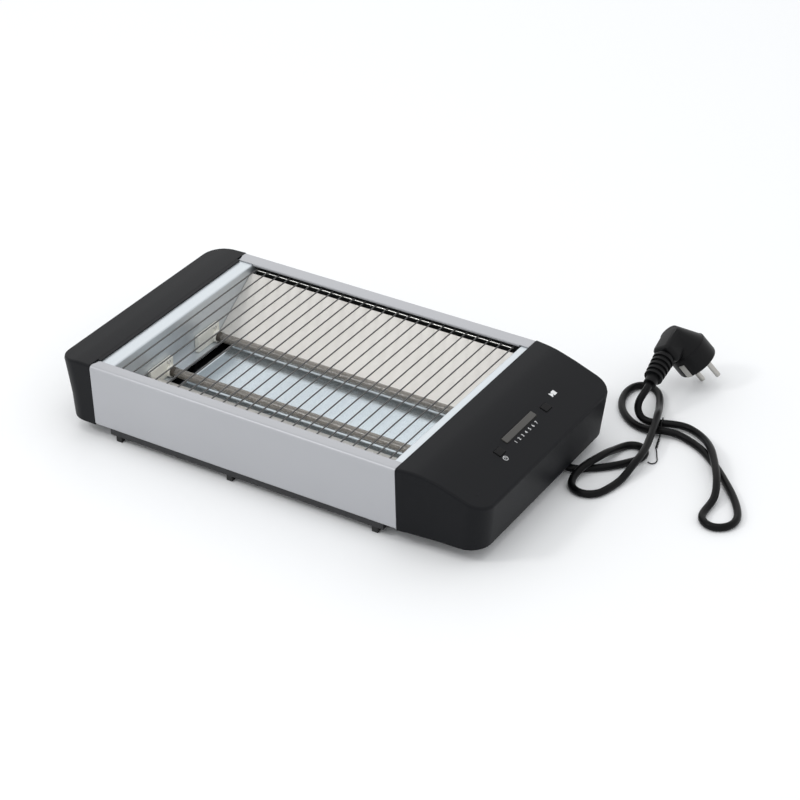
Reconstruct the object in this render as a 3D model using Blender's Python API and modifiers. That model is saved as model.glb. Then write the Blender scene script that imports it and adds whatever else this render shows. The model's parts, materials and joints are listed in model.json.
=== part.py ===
"""Flat toaster: toast lies on wires above two quartz heaters, with a crumb tray below.

X runs along the body towards the control housing, Y towards the back and Z up. The origin
is on the table, under the middle of the body. Sizes are in metres.
"""
import math

import bmesh
import bpy
import numpy as np
from mathutils import Matrix, Vector

# Overall sizes
CASING_LENGTH = 0.304
CASING_DEPTH = 0.2365
PANEL_HEIGHT = 0.0604
CAP_REACH = 0.0365
HOUSING_REACH = 0.079
HOUSING_GAP = 0.0005
TABLE_CLEARANCE = 0.013

# Shared gaps and finishes
GAP = 0.0003
CUT_OVERRUN = 0.004
SHEET = 0.0009
THIN_SHEET = 0.0008
BEND = 0.0026
TIGHT_BEND = 0.0012
SMALL_EDGE = 0.0006

# Panels at the front and back
PANEL_LEAN = 0.0025
FLANGE_DEPTH = 0.0122
REAR_FLANGE_DEPTH = 0.0155
LIP_DROP = 0.0021
HEM_DEPTH = 0.0115
CORNER_CHAMFER_X = 0.0036
CORNER_CHAMFER_Y = 0.009

# End frames of the heating chamber
LEFT_STRIP = 0.017
RIGHT_STRIP = 0.008
STRIP_START = 0.0005
STRIP_BEND = 0.0034
FRAME_END_INSET = 0.0035
FLOOR_FLANGE = 0.0103
FLOOR_FLANGE_TOP = 0.0142
FRAME_LEG = 0.008

# Wire grid and its rails
WIRE_COUNT = 24
WIRE_DIAMETER = 0.0013
WIRE_SIDE_INSET = 0.006215
WIRE_HEIGHT = 0.057
WIRE_END_INSET = 0.006
CROSS_WIRE_INSET = 0.0075
CROSS_WIRE_SINK = 0.0004
RAIL_WEB_INSET = 0.010
RAIL_HEM = 0.002
RAIL_DEPTH = 0.010

# Reflectors
REFLECTOR_SHEET = 0.0005
REFLECTOR_TOP_BEYOND_FLANGE = 0.0029
REFLECTOR_TOP = 0.0523
REFLECTOR_BOTTOM_BEYOND_HEATER = 0.0095
REFLECTOR_BOTTOM = 0.0152

# Crumb tray
TRAY_SIDE_INSET = 0.020
TRAY_FLOOR_TOP = 0.0138
TRAY_BEAD_HEIGHT = 0.0005
TRAY_BEAD_WIDTH = 0.0016
TRAY_HEM_DROP = 0.0052
TRAY_BEYOND_HEATER = 0.017
TRAY_PLATE_BOTTOM = 0.001
TRAY_PLATE_TOP = 0.0172
TRAY_PLATE_OVERLAP = 0.003
TRAY_CUTOUT_GAP = 0.0008
HANDLE_LENGTH = 0.080
HANDLE_DROP = 0.0052
HANDLE_REACH = 0.0014
TRAY_RAIL_WIDTH = 0.005
TRAY_RAIL_LENGTH = 0.150

# Heaters
HEATER_SPACING = 0.0705
HEATER_HEIGHT = 0.020
TUBE_DIAMETER = 0.0085
TUBE_BORE = 0.0069
TUBE_STANDOFF = 0.005
COIL_DIAMETER = 0.0056
HOLDER_THICKNESS = 0.004
HOLDER_LONG_SIDE = 0.026
HOLDER_SHORT_SIDE = 0.007
HOLDER_BOTTOM = 0.0145
HOLDER_TOP = 0.031
TERMINAL_WIDTH = 0.006
TERMINAL_WALL = 0.0008
TERMINAL_TAB = 0.007

# Base plate and feet
BASE_END_INSET = 0.014
BASE_FRONT_INSET = 0.0055
BASE_TOP_GAP = 0.0003
BASE_SKIRT = 0.0064
FOOT_LENGTH = 0.006
FOOT_DEPTH = 0.005
FOOT_LEFT_INSET = 0.0215
FOOT_RIGHT_INSET = 0.023
FOOT_MIDDLE_SHARE = 0.4507

# Moulded end housings, as stations of reach, roof drop and side inset
HOUSING_WALL = 0.0020
HOUSING_RISE = 0.0005
HOUSING_DROP = 0.0196
HOUSING_SIDE_INSET = 0.0051
HOUSING_END_TAPER = 0.0045
HOUSING_CORNER = 0.018
HOUSING_EDGE = 0.0024
HOUSING_STATION_SHARES = (
    (0.0, 0.0, 0.0), (0.17, 0.015, 0.36), (0.272, 0.066, 0.51),
    (0.386, 0.173, 0.66), (0.513, 0.311, 0.78), (1.0, 1.0, 1.0),
)
HOUSING_ROW_SHARES = ((0.0, 1.0), (1.0, 0.0))
ROOF_BEND_SHARE = 4
CAP_DROP = 0.0034
CAP_SIDE_INSET = 0.001
CAP_END_TAPER = 0.006
CAP_CORNER = 0.017
CAP_STATION_SHARES = ((0.0, 0.0, 0.0), (0.4, 0.1, 0.3), (1.0, 1.0, 1.0))
CAP_ROW_SHARES = ((0.0, 1.0), (0.38, 0.82), (0.83, 0.25), (1.0, 0.0))
TONGUE_REACH = 0.0036
TONGUE_THICKNESS = 0.0013
COVER_THICKNESS = 0.002
BOSS_DIAMETER = 0.0075
SCREW_DIAMETER = 0.003
SCREW_HEAD = 0.0058
SCREW_HEAD_HEIGHT = 0.0012
SCREW_LENGTH = 0.008
BOSS_INSET = 0.014

# Controls on the sloped roof, measured along X from its bend and from the front
WINDOW_FROM_BEND = 0.0075
WINDOW_FRONT = 0.092
WINDOW_LENGTH = 0.050
WINDOW_WIDTH = 0.0062
WINDOW_PROUD = 0.0009
WINDOW_DEPTH = 0.0034
LIGHT_COUNT = 7
LIGHT_PITCH = 0.00575
LIGHT_SIZE = 0.003
LIGHT_STRIP = 0.0008
BUTTON_FROM_BEND = 0.011
TIMER_FROM_FRONT = 0.0782
START_FROM_FRONT = 0.157
BUTTON_LENGTH = 0.009
BUTTON_WIDTH = 0.007
BUTTON_PROUD = 0.0007
BUTTON_TRAVEL = 0.0008
BUTTON_FLANGE = 0.0015
BUTTON_FLANGE_THICKNESS = 0.001
BUTTON_EDGE = 0.0012
SWITCH_SIZE = 0.006
SWITCH_HEIGHT = 0.0035
PLUNGER_DIAMETER = 0.0034
PLUNGER_HEIGHT = 0.001
BOARD_THICKNESS = 0.0016
CONTROL_BOARD_WIDTH = 0.022
CONTROL_BOARD_MARGIN = 0.008
BOARD_POST = 0.004

# Mains side inside the control housing
POWER_BOARD_START = 0.012
POWER_BOARD_WIDTH = 0.036
POWER_BOARD_FRONT = 0.056
POWER_BOARD_LENGTH = 0.090
POWER_BOARD_POST = 0.004
RELAY_LENGTH = 0.019
RELAY_WIDTH = 0.0155
RELAY_HEIGHT = 0.0145
TERMINAL_BLOCK_LENGTH = 0.030
TERMINAL_BLOCK_WIDTH = 0.012
TERMINAL_BLOCK_HEIGHT = 0.011
FUSE_DIAMETER = 0.004
FUSE_LENGTH = 0.014
FUSE_HEIGHT = 0.040
LEAD_DIAMETER = 0.002

# Cord, its gland and the wire tie round it
CORD_DIAMETER = 0.0066
CORD_SIDES_LEVEL = 1
CORD_STEP = 0.0085
LEAST_CORD_GAP = 0.0004
GLAND_LENGTH = 0.014
GLAND_WIDTH = 0.013
GLAND_DROP = 0.0108
RELIEF_LENGTH = 0.022
RELIEF_ROOT_DIAMETER = 0.0098
RELIEF_TIP_DIAMETER = 0.0078
TIE_DIAMETER = 0.0010
CORD_EXIT_REACH = 0.0475

# The cord's route on the table, from the gland's relief to the plug
CORD_ROUTE = (
    (0.1785, 0.0480, 0.0076), (0.1851, 0.0480, 0.0076), (0.2025, 0.0505, 0.0040),
    (0.2135, 0.0568, 0.0034), (0.2235, 0.0648, 0.0034), (0.2335, 0.0753, 0.0034),
    (0.2402, 0.0842, 0.0034), (0.2452, 0.0925, 0.0034), (0.2464, 0.1020, 0.0034),
    (0.2408, 0.1100, 0.0034), (0.2314, 0.1102, 0.0034), (0.2250, 0.1030, 0.0036),
    (0.2226, 0.0920, 0.0058),
    (0.2215, 0.0798, 0.0094), (0.2190, 0.0658, 0.0109), (0.2150, 0.0523, 0.0101),
    (0.2120, 0.0383, 0.0061), (0.2160, 0.0268, 0.0036), (0.2275, 0.0223, 0.0034),
    (0.2385, 0.0283, 0.0034), (0.2440, 0.0418, 0.0034), (0.2470, 0.0558, 0.0042),
    (0.2485, 0.0698, 0.0078), (0.2490, 0.0848, 0.0107), (0.2475, 0.0998, 0.0111),
    (0.2445, 0.1138, 0.0116), (0.2410, 0.1278, 0.0124), (0.2370, 0.1418, 0.0127),
    (0.2325, 0.1548, 0.0115), (0.2275, 0.1678, 0.0067), (0.2215, 0.1818, 0.0037),
    (0.2145, 0.1948, 0.0035), (0.2040, 0.2028, 0.0034), (0.1930, 0.2008, 0.0034),
    (0.1878, 0.1898, 0.0034), (0.1890, 0.1753, 0.0034), (0.1943, 0.1618, 0.0034),
    (0.2035, 0.1503, 0.0034), (0.2155, 0.1418, 0.0034), (0.2285, 0.1383, 0.0038),
    (0.2425, 0.1403, 0.0052), (0.2565, 0.1433, 0.0046), (0.2715, 0.1403, 0.0035),
    (0.2855, 0.1333, 0.0034), (0.2985, 0.1233, 0.0034), (0.3110, 0.1118, 0.0034),
    (0.3235, 0.0988, 0.0034), (0.3360, 0.0848, 0.0034), (0.3475, 0.0688, 0.0034),
    (0.3540, 0.0533, 0.0034), (0.3512, 0.0405, 0.0034), (0.3402, 0.0343, 0.0034),
    (0.3292, 0.0405, 0.0034), (0.3262, 0.0533, 0.0036), (0.3262, 0.0683, 0.0054),
    (0.3220, 0.0828, 0.0088), (0.3150, 0.0973, 0.0108), (0.3065, 0.1118, 0.0110),
    (0.2970, 0.1268, 0.0106), (0.2860, 0.1413, 0.0074), (0.2725, 0.1533, 0.0046),
    (0.2575, 0.1578, 0.0046), (0.2430, 0.1535, 0.0052), (0.2310, 0.1500, 0.0046),
    (0.2208, 0.1489, 0.0062), (0.2155, 0.1500, 0.0135), (0.2152, 0.1540, 0.0213),
)

# Wire tie: its loose end, the axis where its two ends twist together, and its ring
TIE_CLEARANCE = 0.0002
TIE_TAIL = (
    (0.2522, 0.0964, 0.0008), (0.2560, 0.0958, 0.0008), (0.2584, 0.1000, 0.0008),
    (0.2550, 0.1085, 0.0008),
)
TIE_TWIST_START = (0.2493, 0.1185, 0.0014)
TIE_TWIST_END = (0.2450, 0.1330, 0.0014)
TIE_TWISTS = 3
TIE_TWIST_STEPS = 24
TIE_RING = (
    (0.2426, 0.1400, 0.0009), (0.2404, 0.1470, 0.0009), (0.2384, 0.1528, 0.0009),
    (0.2372, 0.1560, 0.0024), (0.2369, 0.1571, 0.0052), (0.2373, 0.1560, 0.0082),
    (0.2384, 0.1525, 0.0096), (0.2405, 0.1460, 0.0098), (0.2427, 0.1403, 0.0096),
    (0.2438, 0.1370, 0.0083), (0.2443, 0.1357, 0.0055), (0.2446, 0.1348, 0.0031),
)

# Plug
PLUG_CORD_AXIS = (-0.053, 0.958, 0.2806)
PLUG_PIN_AXIS = (0.5806, 0.2579, -0.7704)
PLUG_START = (0.2165, 0.17525, 0.0322)
PLUG_COLLAR = 0.008
PLUG_COLLAR_DIAMETER = 0.0116
PLUG_RIBS = 5
PLUG_RELIEF_LENGTH = 0.026
PLUG_RELIEF_ROOT = 0.0170
PLUG_RELIEF_TIP = 0.0196
RIB_DEPTH = 0.0016
GRIP_LENGTH = 0.030
GRIP_WIDTH = 0.021
GRIP_HEIGHT = 0.020
GRIP_EDGE = 0.005
PUCK_DIAMETER = 0.0384
PUCK_HEIGHT = 0.019
PUCK_CENTRE = 0.0533
PUCK_EDGE = 0.002
FACE_OFFSET = 0.033
SHOULDER_TOP_DIAMETER = 0.018
SHOULDER_SHIFT = 0.004
PIN_DIAMETER = 0.0048
PIN_LENGTH = 0.019
PIN_SPACING = 0.019
PIN_EDGE = 0.0012
INSERT_DEPTH = 0.008
EARTH_WIDTH = 0.0065
EARTH_HEIGHT = 0.014
EARTH_THICKNESS = 0.001

# Places worked out from the sizes above
TOTAL_LENGTH = CAP_REACH + CASING_LENGTH + HOUSING_GAP + HOUSING_REACH
CASING_LEFT = CAP_REACH - TOTAL_LENGTH / 2
CASING_RIGHT = CASING_LEFT + CASING_LENGTH
FRONT = -CASING_DEPTH / 2
BACK = CASING_DEPTH / 2
PANEL_BOTTOM = TABLE_CLEARANCE
PANEL_TOP = PANEL_BOTTOM + PANEL_HEIGHT
LEFT_WALL = CASING_LEFT + LEFT_STRIP
RIGHT_WALL = CASING_RIGHT - RIGHT_STRIP
CHAMBER_MIDDLE = (LEFT_WALL + RIGHT_WALL) / 2
STRIP_TOP = PANEL_TOP - SHEET - GAP
HOUSING_START = CASING_RIGHT + HOUSING_GAP
HOUSING_TOP = PANEL_TOP + HOUSING_RISE
TRAY_LEFT = LEFT_WALL + TRAY_SIDE_INSET
TRAY_RIGHT = RIGHT_WALL - TRAY_SIDE_INSET
BASE_TOP = PANEL_BOTTOM - BASE_TOP_GAP
BASE_LEFT = CASING_LEFT + BASE_END_INSET
BASE_RIGHT = CASING_RIGHT - BASE_END_INSET
HEATER_Y = HEATER_SPACING / 2
HEATER_Z = PANEL_BOTTOM + HEATER_HEIGHT
HEATER_SIDES = {"front": -1, "rear": 1}
FLANGE_DEPTHS = {-1: FLANGE_DEPTH, 1: REAR_FLANGE_DEPTH}
WIRE_PITCH = (RIGHT_WALL - LEFT_WALL - WIRE_SIDE_INSET * 2) / (WIRE_COUNT - 1)
FOOT_PLACES = {
    "left": CASING_LEFT + FOOT_LEFT_INSET,
    "middle": CASING_LEFT + CASING_LENGTH * FOOT_MIDDLE_SHARE,
    "right": CASING_RIGHT - FOOT_RIGHT_INSET,
}
CORD_SHIFT = HOUSING_START + CORD_EXIT_REACH - CORD_ROUTE[0][0]


def clear_scene():
    for item in list(bpy.data.objects):
        bpy.data.objects.remove(item, do_unlink=True)


def new_collection(name):
    collection = bpy.data.collections.new(name)
    bpy.context.scene.collection.children.link(collection)
    return collection


def make_material(name, colour, roughness, metallic=0.0):
    material = bpy.data.materials.new(name)
    material.use_nodes = True
    shader = material.node_tree.nodes["Principled BSDF"]
    shader.inputs["Base Color"].default_value = (*colour, 1.0)
    shader.inputs["Roughness"].default_value = roughness
    shader.inputs["Metallic"].default_value = metallic
    material.diffuse_color = (*colour, 1.0)
    return material


clear_scene()
PARTS = new_collection("flat_toaster")
CUTTERS = new_collection("cutters")
MATERIALS = {
    "grey_paint": make_material("grey_paint", (0.42, 0.43, 0.44), 0.45),
    "galvanised": make_material("galvanised", (0.62, 0.65, 0.70), 0.35, 1.0),
    "reflector": make_material("reflector", (0.70, 0.67, 0.62), 0.4, 1.0),
    "bright_steel": make_material("bright_steel", (0.72, 0.74, 0.77), 0.2, 1.0),
    "black_plastic": make_material("black_plastic", (0.02, 0.02, 0.022), 0.5),
    "black_paint": make_material("black_paint", (0.015, 0.016, 0.018), 0.5),
    "quartz": make_material("quartz", (0.75, 0.75, 0.73), 0.1),
    "coil": make_material("coil", (0.12, 0.11, 0.10), 0.6, 1.0),
    "ceramic": make_material("ceramic", (0.78, 0.76, 0.68), 0.7),
    "lens": make_material("lens", (0.60, 0.59, 0.54), 0.3),
    "board": make_material("board", (0.05, 0.18, 0.08), 0.6),
    "component": make_material("component", (0.05, 0.05, 0.06), 0.5),
    "cord": make_material("cord", (0.012, 0.012, 0.012), 0.55),
    "pin_metal": make_material("pin_metal", (0.75, 0.73, 0.68), 0.25, 1.0),
}


def add_object(name, mesh, material, collection=None):
    item = bpy.data.objects.new(name, mesh)
    (collection or PARTS).objects.link(item)
    if material:
        mesh.materials.append(MATERIALS[material])
    return item


def object_from_bmesh(name, bm, material, collection=None, smooth=False):
    mesh = bpy.data.meshes.new(name)
    bm.to_mesh(mesh)
    bm.free()
    if smooth:
        mesh.shade_smooth()
        mesh.set_sharp_from_angle(angle=math.radians(35))
    return add_object(name, mesh, material, collection)


def add_box(bm, low, high, edge=0.0, segments=2, turn=None):
    """Add a box between two corners, with rounded edges, then turned by a matrix."""
    low, high = Vector(low), Vector(high)
    verts = bmesh.ops.create_cube(bm, size=1.0)["verts"]
    bmesh.ops.scale(bm, vec=high - low, verts=verts)
    bmesh.ops.translate(bm, vec=(low + high) / 2, verts=verts)
    if edge:
        edges = list({e for v in verts for e in v.link_edges})
        made = bmesh.ops.bevel(bm, geom=edges, offset=edge, segments=segments, affect="EDGES", profile=0.5)
        verts = list({v for f in made["faces"] for v in f.verts})
    if turn:
        bmesh.ops.transform(bm, matrix=turn, verts=verts)


def add_rod(bm, start, end, radius, end_radius=None, segments=20):
    """Add a capped cylinder or cone between two points."""
    start, end = Vector(start), Vector(end)
    axis = end - start
    turn = axis.to_track_quat("Z", "Y").to_matrix().to_4x4()
    place = Matrix.Translation((start + end) / 2) @ turn
    last = radius if end_radius is None else end_radius
    bmesh.ops.create_cone(bm, cap_ends=True, segments=segments, radius1=radius, radius2=last,
                          depth=axis.length, matrix=place)


def box(name, low, high, material, edge=0.0, collection=None, turn=None):
    bm = bmesh.new()
    add_box(bm, low, high, edge, turn=turn)
    return object_from_bmesh(name, bm, material, collection)


def rod(name, start, end, radius, material, end_radius=None, segments=20, collection=None):
    bm = bmesh.new()
    add_rod(bm, start, end, radius, end_radius, segments)
    return object_from_bmesh(name, bm, material, collection, smooth=True)


def hide_helper(helper):
    helper.hide_render = True
    helper.display_type = "WIRE"
    return helper


def combine(target, helper, operation):
    """Cut a helper solid from the target, or fuse it on, with a live Boolean."""
    hide_helper(helper)
    modifier = target.modifiers.new(helper.name, "BOOLEAN")
    modifier.operation = operation
    modifier.object = helper
    return target


def cut_box(target, name, low, high, turn=None):
    return combine(target, box(name, low, high, None, collection=CUTTERS, turn=turn), "DIFFERENCE")


def cut_rod(target, name, start, end, radius, segments=20):
    helper = rod(name, start, end, radius, None, segments=segments, collection=CUTTERS)
    return combine(target, helper, "DIFFERENCE")


def fuse_box(target, name, low, high, turn=None):
    return combine(target, box(name, low, high, None, collection=CUTTERS, turn=turn), "UNION")


def fuse_rod(target, name, start, end, radius, segments=16):
    helper = rod(name, start, end, radius, None, segments=segments, collection=CUTTERS)
    return combine(target, helper, "UNION")


def rounded_path(points, radius, steps=4):
    """Replace each inner corner of a flat path by an arc of the given radius."""
    points = [np.array(p, dtype=float) for p in points]
    result = [points[0]]
    for before, corner, after in zip(points, points[1:], points[2:]):
        one = (before - corner) / np.linalg.norm(before - corner)
        two = (after - corner) / np.linalg.norm(after - corner)
        half = math.acos(float(np.clip(one @ two, -1.0, 1.0))) / 2
        reach = radius / math.tan(half)
        middle = (one + two) / np.linalg.norm(one + two)
        centre = corner + middle * radius / math.sin(half)
        start = corner + one * reach - centre
        finish = corner + two * reach - centre
        sweep = math.pi - 2 * half
        for step in range(steps + 1):
            share = step / steps
            weight_start = math.sin((1 - share) * sweep) / math.sin(sweep)
            weight_finish = math.sin(share * sweep) / math.sin(sweep)
            result.append(centre + start * weight_start + finish * weight_finish)
    result.append(points[-1])
    return result


def folded_sheet(name, path, low, high, thickness, radius, material, along="X"):
    """Bend a sheet along a path and draw it out along X or Y. The path is its middle."""
    bm = bmesh.new()
    verts = []
    for across, up in rounded_path(path, radius):
        place = (low, across, up) if along == "X" else (across, low, up)
        verts.append(bm.verts.new(place))
    edges = [bm.edges.new(pair) for pair in zip(verts, verts[1:])]
    drawn = bmesh.ops.extrude_edge_only(bm, edges=edges)["geom"]
    move = (high - low, 0, 0) if along == "X" else (0, high - low, 0)
    bmesh.ops.translate(bm, vec=move, verts=[v for v in drawn if isinstance(v, bmesh.types.BMVert)])
    sheet = object_from_bmesh(name, bm, material, smooth=True)
    solid = sheet.modifiers.new("thickness", "SOLIDIFY")
    solid.thickness = thickness
    solid.offset = 0.0
    solid.use_even_offset = True
    return sheet


def smooth_curve(points, step, straight=0.0):
    """Read points at even steps from a smooth curve, with one straight step at each end."""
    points = np.array(points)
    chords = np.linalg.norm(np.diff(points, axis=0), axis=1)
    knots = np.concatenate(([0.0], np.cumsum(np.sqrt(chords))))
    count = len(points)
    gaps = np.diff(knots)
    matrix = np.zeros((count, count))
    rates = np.zeros((count, 3))
    matrix[0, 0] = matrix[-1, -1] = 1.0
    rates[0] = (points[1] - points[0]) / gaps[0]
    rates[-1] = (points[-1] - points[-2]) / gaps[-1]
    for i in range(1, count - 1):
        matrix[i, i - 1] = gaps[i]
        matrix[i, i] = 2 * (gaps[i - 1] + gaps[i])
        matrix[i, i + 1] = gaps[i - 1]
        before = (points[i] - points[i - 1]) / gaps[i - 1]
        after = (points[i + 1] - points[i]) / gaps[i]
        rates[i] = 3 * (gaps[i] * before + gaps[i - 1] * after)
    slopes = np.linalg.solve(matrix, rates)
    fine = []
    for i in range(count - 1):
        for share in np.linspace(0, 1, 24, endpoint=False):
            a, b = share * share * (3 - 2 * share), share * share * (share - 1)
            c = share * (1 - share) ** 2
            fine.append(points[i] * (1 - a) + points[i + 1] * a
                        + gaps[i] * (slopes[i] * c + slopes[i + 1] * b))
    fine.append(points[-1])
    fine = np.array(fine)
    travel = np.concatenate(([0.0], np.cumsum(np.linalg.norm(np.diff(fine, axis=0), axis=1))))
    places = np.linspace(straight, travel[-1] - straight, int(round(travel[-1] / step)) + 1)
    if straight:
        places = np.concatenate(([0.0], places, [travel[-1]]))
    return np.stack([np.interp(places, travel, fine[:, k]) for k in range(3)], axis=1), travel[-1]


def tube_along(name, points, diameter, material, level=2):
    """A round tube with filled caps along a list of points."""
    curve = bpy.data.curves.new(name, "CURVE")
    curve.dimensions = "3D"
    curve.bevel_depth = diameter / 2
    curve.bevel_resolution = level
    curve.use_fill_caps = True
    spline = curve.splines.new("POLY")
    spline.points.add(len(points) - 1)
    for point, place in zip(spline.points, points):
        point.co = (*place, 1.0)
    curve.materials.append(MATERIALS[material])
    item = bpy.data.objects.new(name, curve)
    PARTS.objects.link(item)
    return item


def between(value, shares, column):
    """Read a column of a table of shares at a value of its first column."""
    return float(np.interp(value, [row[0] for row in shares], [row[column] for row in shares]))


def panel_inset(height):
    """How far the leaning panel's outer face stands in from its top edge."""
    return PANEL_LEAN * (1 - height / PANEL_HEIGHT)


def build_panel(name, side):
    """Folded sheet panel with a hem, a leaning face, a top flange and a lip."""
    half = SHEET / 2
    face = CASING_DEPTH / 2
    low = PANEL_BOTTOM + half
    high = PANEL_TOP - half
    path = [
        (side * (face - PANEL_LEAN - HEM_DEPTH), low),
        (side * (face - PANEL_LEAN - half), low),
        (side * (face - half), high),
        (side * (face - FLANGE_DEPTHS[side] + half), high),
    ]
    panel = folded_sheet(name, path, CASING_LEFT + GAP, CASING_RIGHT, SHEET, BEND, "grey_paint")
    lip_inner = side * (face - FLANGE_DEPTHS[side])
    lip_outer = side * (face - FLANGE_DEPTHS[side] + SHEET)
    fuse_box(panel, name + "_lip",
             (LEFT_WALL + GAP + SMALL_EDGE, min(lip_inner, lip_outer), PANEL_TOP - LIP_DROP),
             (RIGHT_WALL - GAP - SMALL_EDGE, max(lip_inner, lip_outer), PANEL_TOP - half))
    bm = bmesh.new()
    corners = ((-CUT_OVERRUN, 0), (CORNER_CHAMFER_X, 0), (0, CORNER_CHAMFER_Y), (-CUT_OVERRUN, CORNER_CHAMFER_Y))
    for level in (PANEL_TOP - SHEET - CUT_OVERRUN / 2, PANEL_TOP + CUT_OVERRUN):
        ring = [bm.verts.new((CASING_LEFT + x, lip_inner + side * (y - GAP), level)) for x, y in corners]
        bm.faces.new(ring)
    bmesh.ops.bridge_loops(bm, edges=[e for f in bm.faces for e in f.edges])
    bmesh.ops.recalc_face_normals(bm, faces=bm.faces)
    combine(panel, object_from_bmesh(name + "_chamfer", bm, None, CUTTERS), "DIFFERENCE")
    return panel


def build_panels():
    build_panel("front_panel", -1)
    rear = build_panel("rear_panel", 1)
    cut_box(rear, "tray_cutout",
            (TRAY_LEFT - TRAY_CUTOUT_GAP, BACK - REAR_FLANGE_DEPTH, PANEL_BOTTOM + TRAY_FLOOR_TOP - TRAY_HEM_DROP - TRAY_CUTOUT_GAP),
            (TRAY_RIGHT + TRAY_CUTOUT_GAP, BACK + CUT_OVERRUN, PANEL_BOTTOM + TRAY_FLOOR_TOP + TRAY_BEAD_HEIGHT + TRAY_CUTOUT_GAP))


def build_end_frame(name, wall, strip_end, inward):
    """Galvanised end of the chamber: top strip, wall, floor flange and two legs."""
    half = THIN_SHEET / 2
    outside = wall - inward * half
    path = [
        (strip_end, STRIP_TOP - half),
        (outside, STRIP_TOP - half),
        (outside, PANEL_BOTTOM + FLOOR_FLANGE_TOP - half),
        (wall + inward * FLOOR_FLANGE, PANEL_BOTTOM + FLOOR_FLANGE_TOP - half),
    ]
    low = FRONT + FRAME_END_INSET
    high = BACK - FRAME_END_INSET
    frame = folded_sheet(name, path, low, high, THIN_SHEET, TIGHT_BEND, "galvanised", along="Y")
    leg_top = PANEL_BOTTOM + FLOOR_FLANGE_TOP + TIGHT_BEND * 2
    inner, outer = wall, wall - inward * THIN_SHEET
    for index, start in enumerate((low + BEND, high - BEND - FRAME_LEG)):
        fuse_box(frame, f"{name}_leg_{index}",
                 (min(inner, outer), start, PANEL_BOTTOM + SHEET + GAP),
                 (max(inner, outer), start + FRAME_LEG, leg_top))
    for side_name, side in HEATER_SIDES.items():
        middle = side * HEATER_Y
        cut_rod(frame, f"{name}_{side_name}_hole", (wall - CUT_OVERRUN, middle, HEATER_Z),
                (wall + CUT_OVERRUN, middle, HEATER_Z), TUBE_DIAMETER / 2 + SHEET)
    return frame


def build_end_frames():
    build_end_frame("left_end_frame", LEFT_WALL, CASING_LEFT + STRIP_START, 1)
    build_end_frame("right_end_frame", RIGHT_WALL, CASING_RIGHT - STRIP_START, -1)


def build_grid():
    """Wires welded to a cross wire at each end, and the two hemmed rails that carry them."""
    bm = bmesh.new()
    height = PANEL_BOTTOM + WIRE_HEIGHT
    for index in range(WIRE_COUNT):
        x = CHAMBER_MIDDLE + (index - (WIRE_COUNT - 1) / 2) * WIRE_PITCH
        add_rod(bm, (x, FRONT + WIRE_END_INSET, height), (x, BACK - WIRE_END_INSET, height),
                WIRE_DIAMETER / 2, segments=8)
    grid = object_from_bmesh("grid_wires", bm, "bright_steel", smooth=True)
    reach = (WIRE_COUNT - 1) / 2 * WIRE_PITCH
    level = height - WIRE_DIAMETER + CROSS_WIRE_SINK
    for side_name, side in HEATER_SIDES.items():
        y = side * (CASING_DEPTH / 2 - CROSS_WIRE_INSET)
        fuse_rod(grid, f"{side_name}_cross_wire", (CHAMBER_MIDDLE - reach, y, level),
                 (CHAMBER_MIDDLE + reach, y, level), WIRE_DIAMETER / 2, 8)
    half = REFLECTOR_SHEET / 2
    top = height - WIRE_DIAMETER / 2 - GAP - half
    for name, side in (("front_wire_rail", -1), ("rear_wire_rail", 1)):
        web = side * (CASING_DEPTH / 2 - RAIL_WEB_INSET)
        inner = web - side * RAIL_HEM
        path = [(inner, top), (web, top), (web, top - RAIL_DEPTH)]
        folded_sheet(name, path, LEFT_WALL + GAP, RIGHT_WALL - GAP, REFLECTOR_SHEET,
                     REFLECTOR_SHEET, "galvanised")


def build_reflectors():
    for name, side in (("front_reflector", -1), ("rear_reflector", 1)):
        inset = GAP if side > 0 else HOLDER_THICKNESS + SHEET
        flange_edge = CASING_DEPTH / 2 - FLANGE_DEPTHS[side]
        path = [
            (side * (HEATER_Y + REFLECTOR_BOTTOM_BEYOND_HEATER), PANEL_BOTTOM + REFLECTOR_BOTTOM),
            (side * (flange_edge - REFLECTOR_TOP_BEYOND_FLANGE), PANEL_BOTTOM + REFLECTOR_TOP),
        ]
        folded_sheet(name, path, LEFT_WALL + inset, RIGHT_WALL - inset, REFLECTOR_SHEET,
                     REFLECTOR_SHEET, "reflector")


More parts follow.
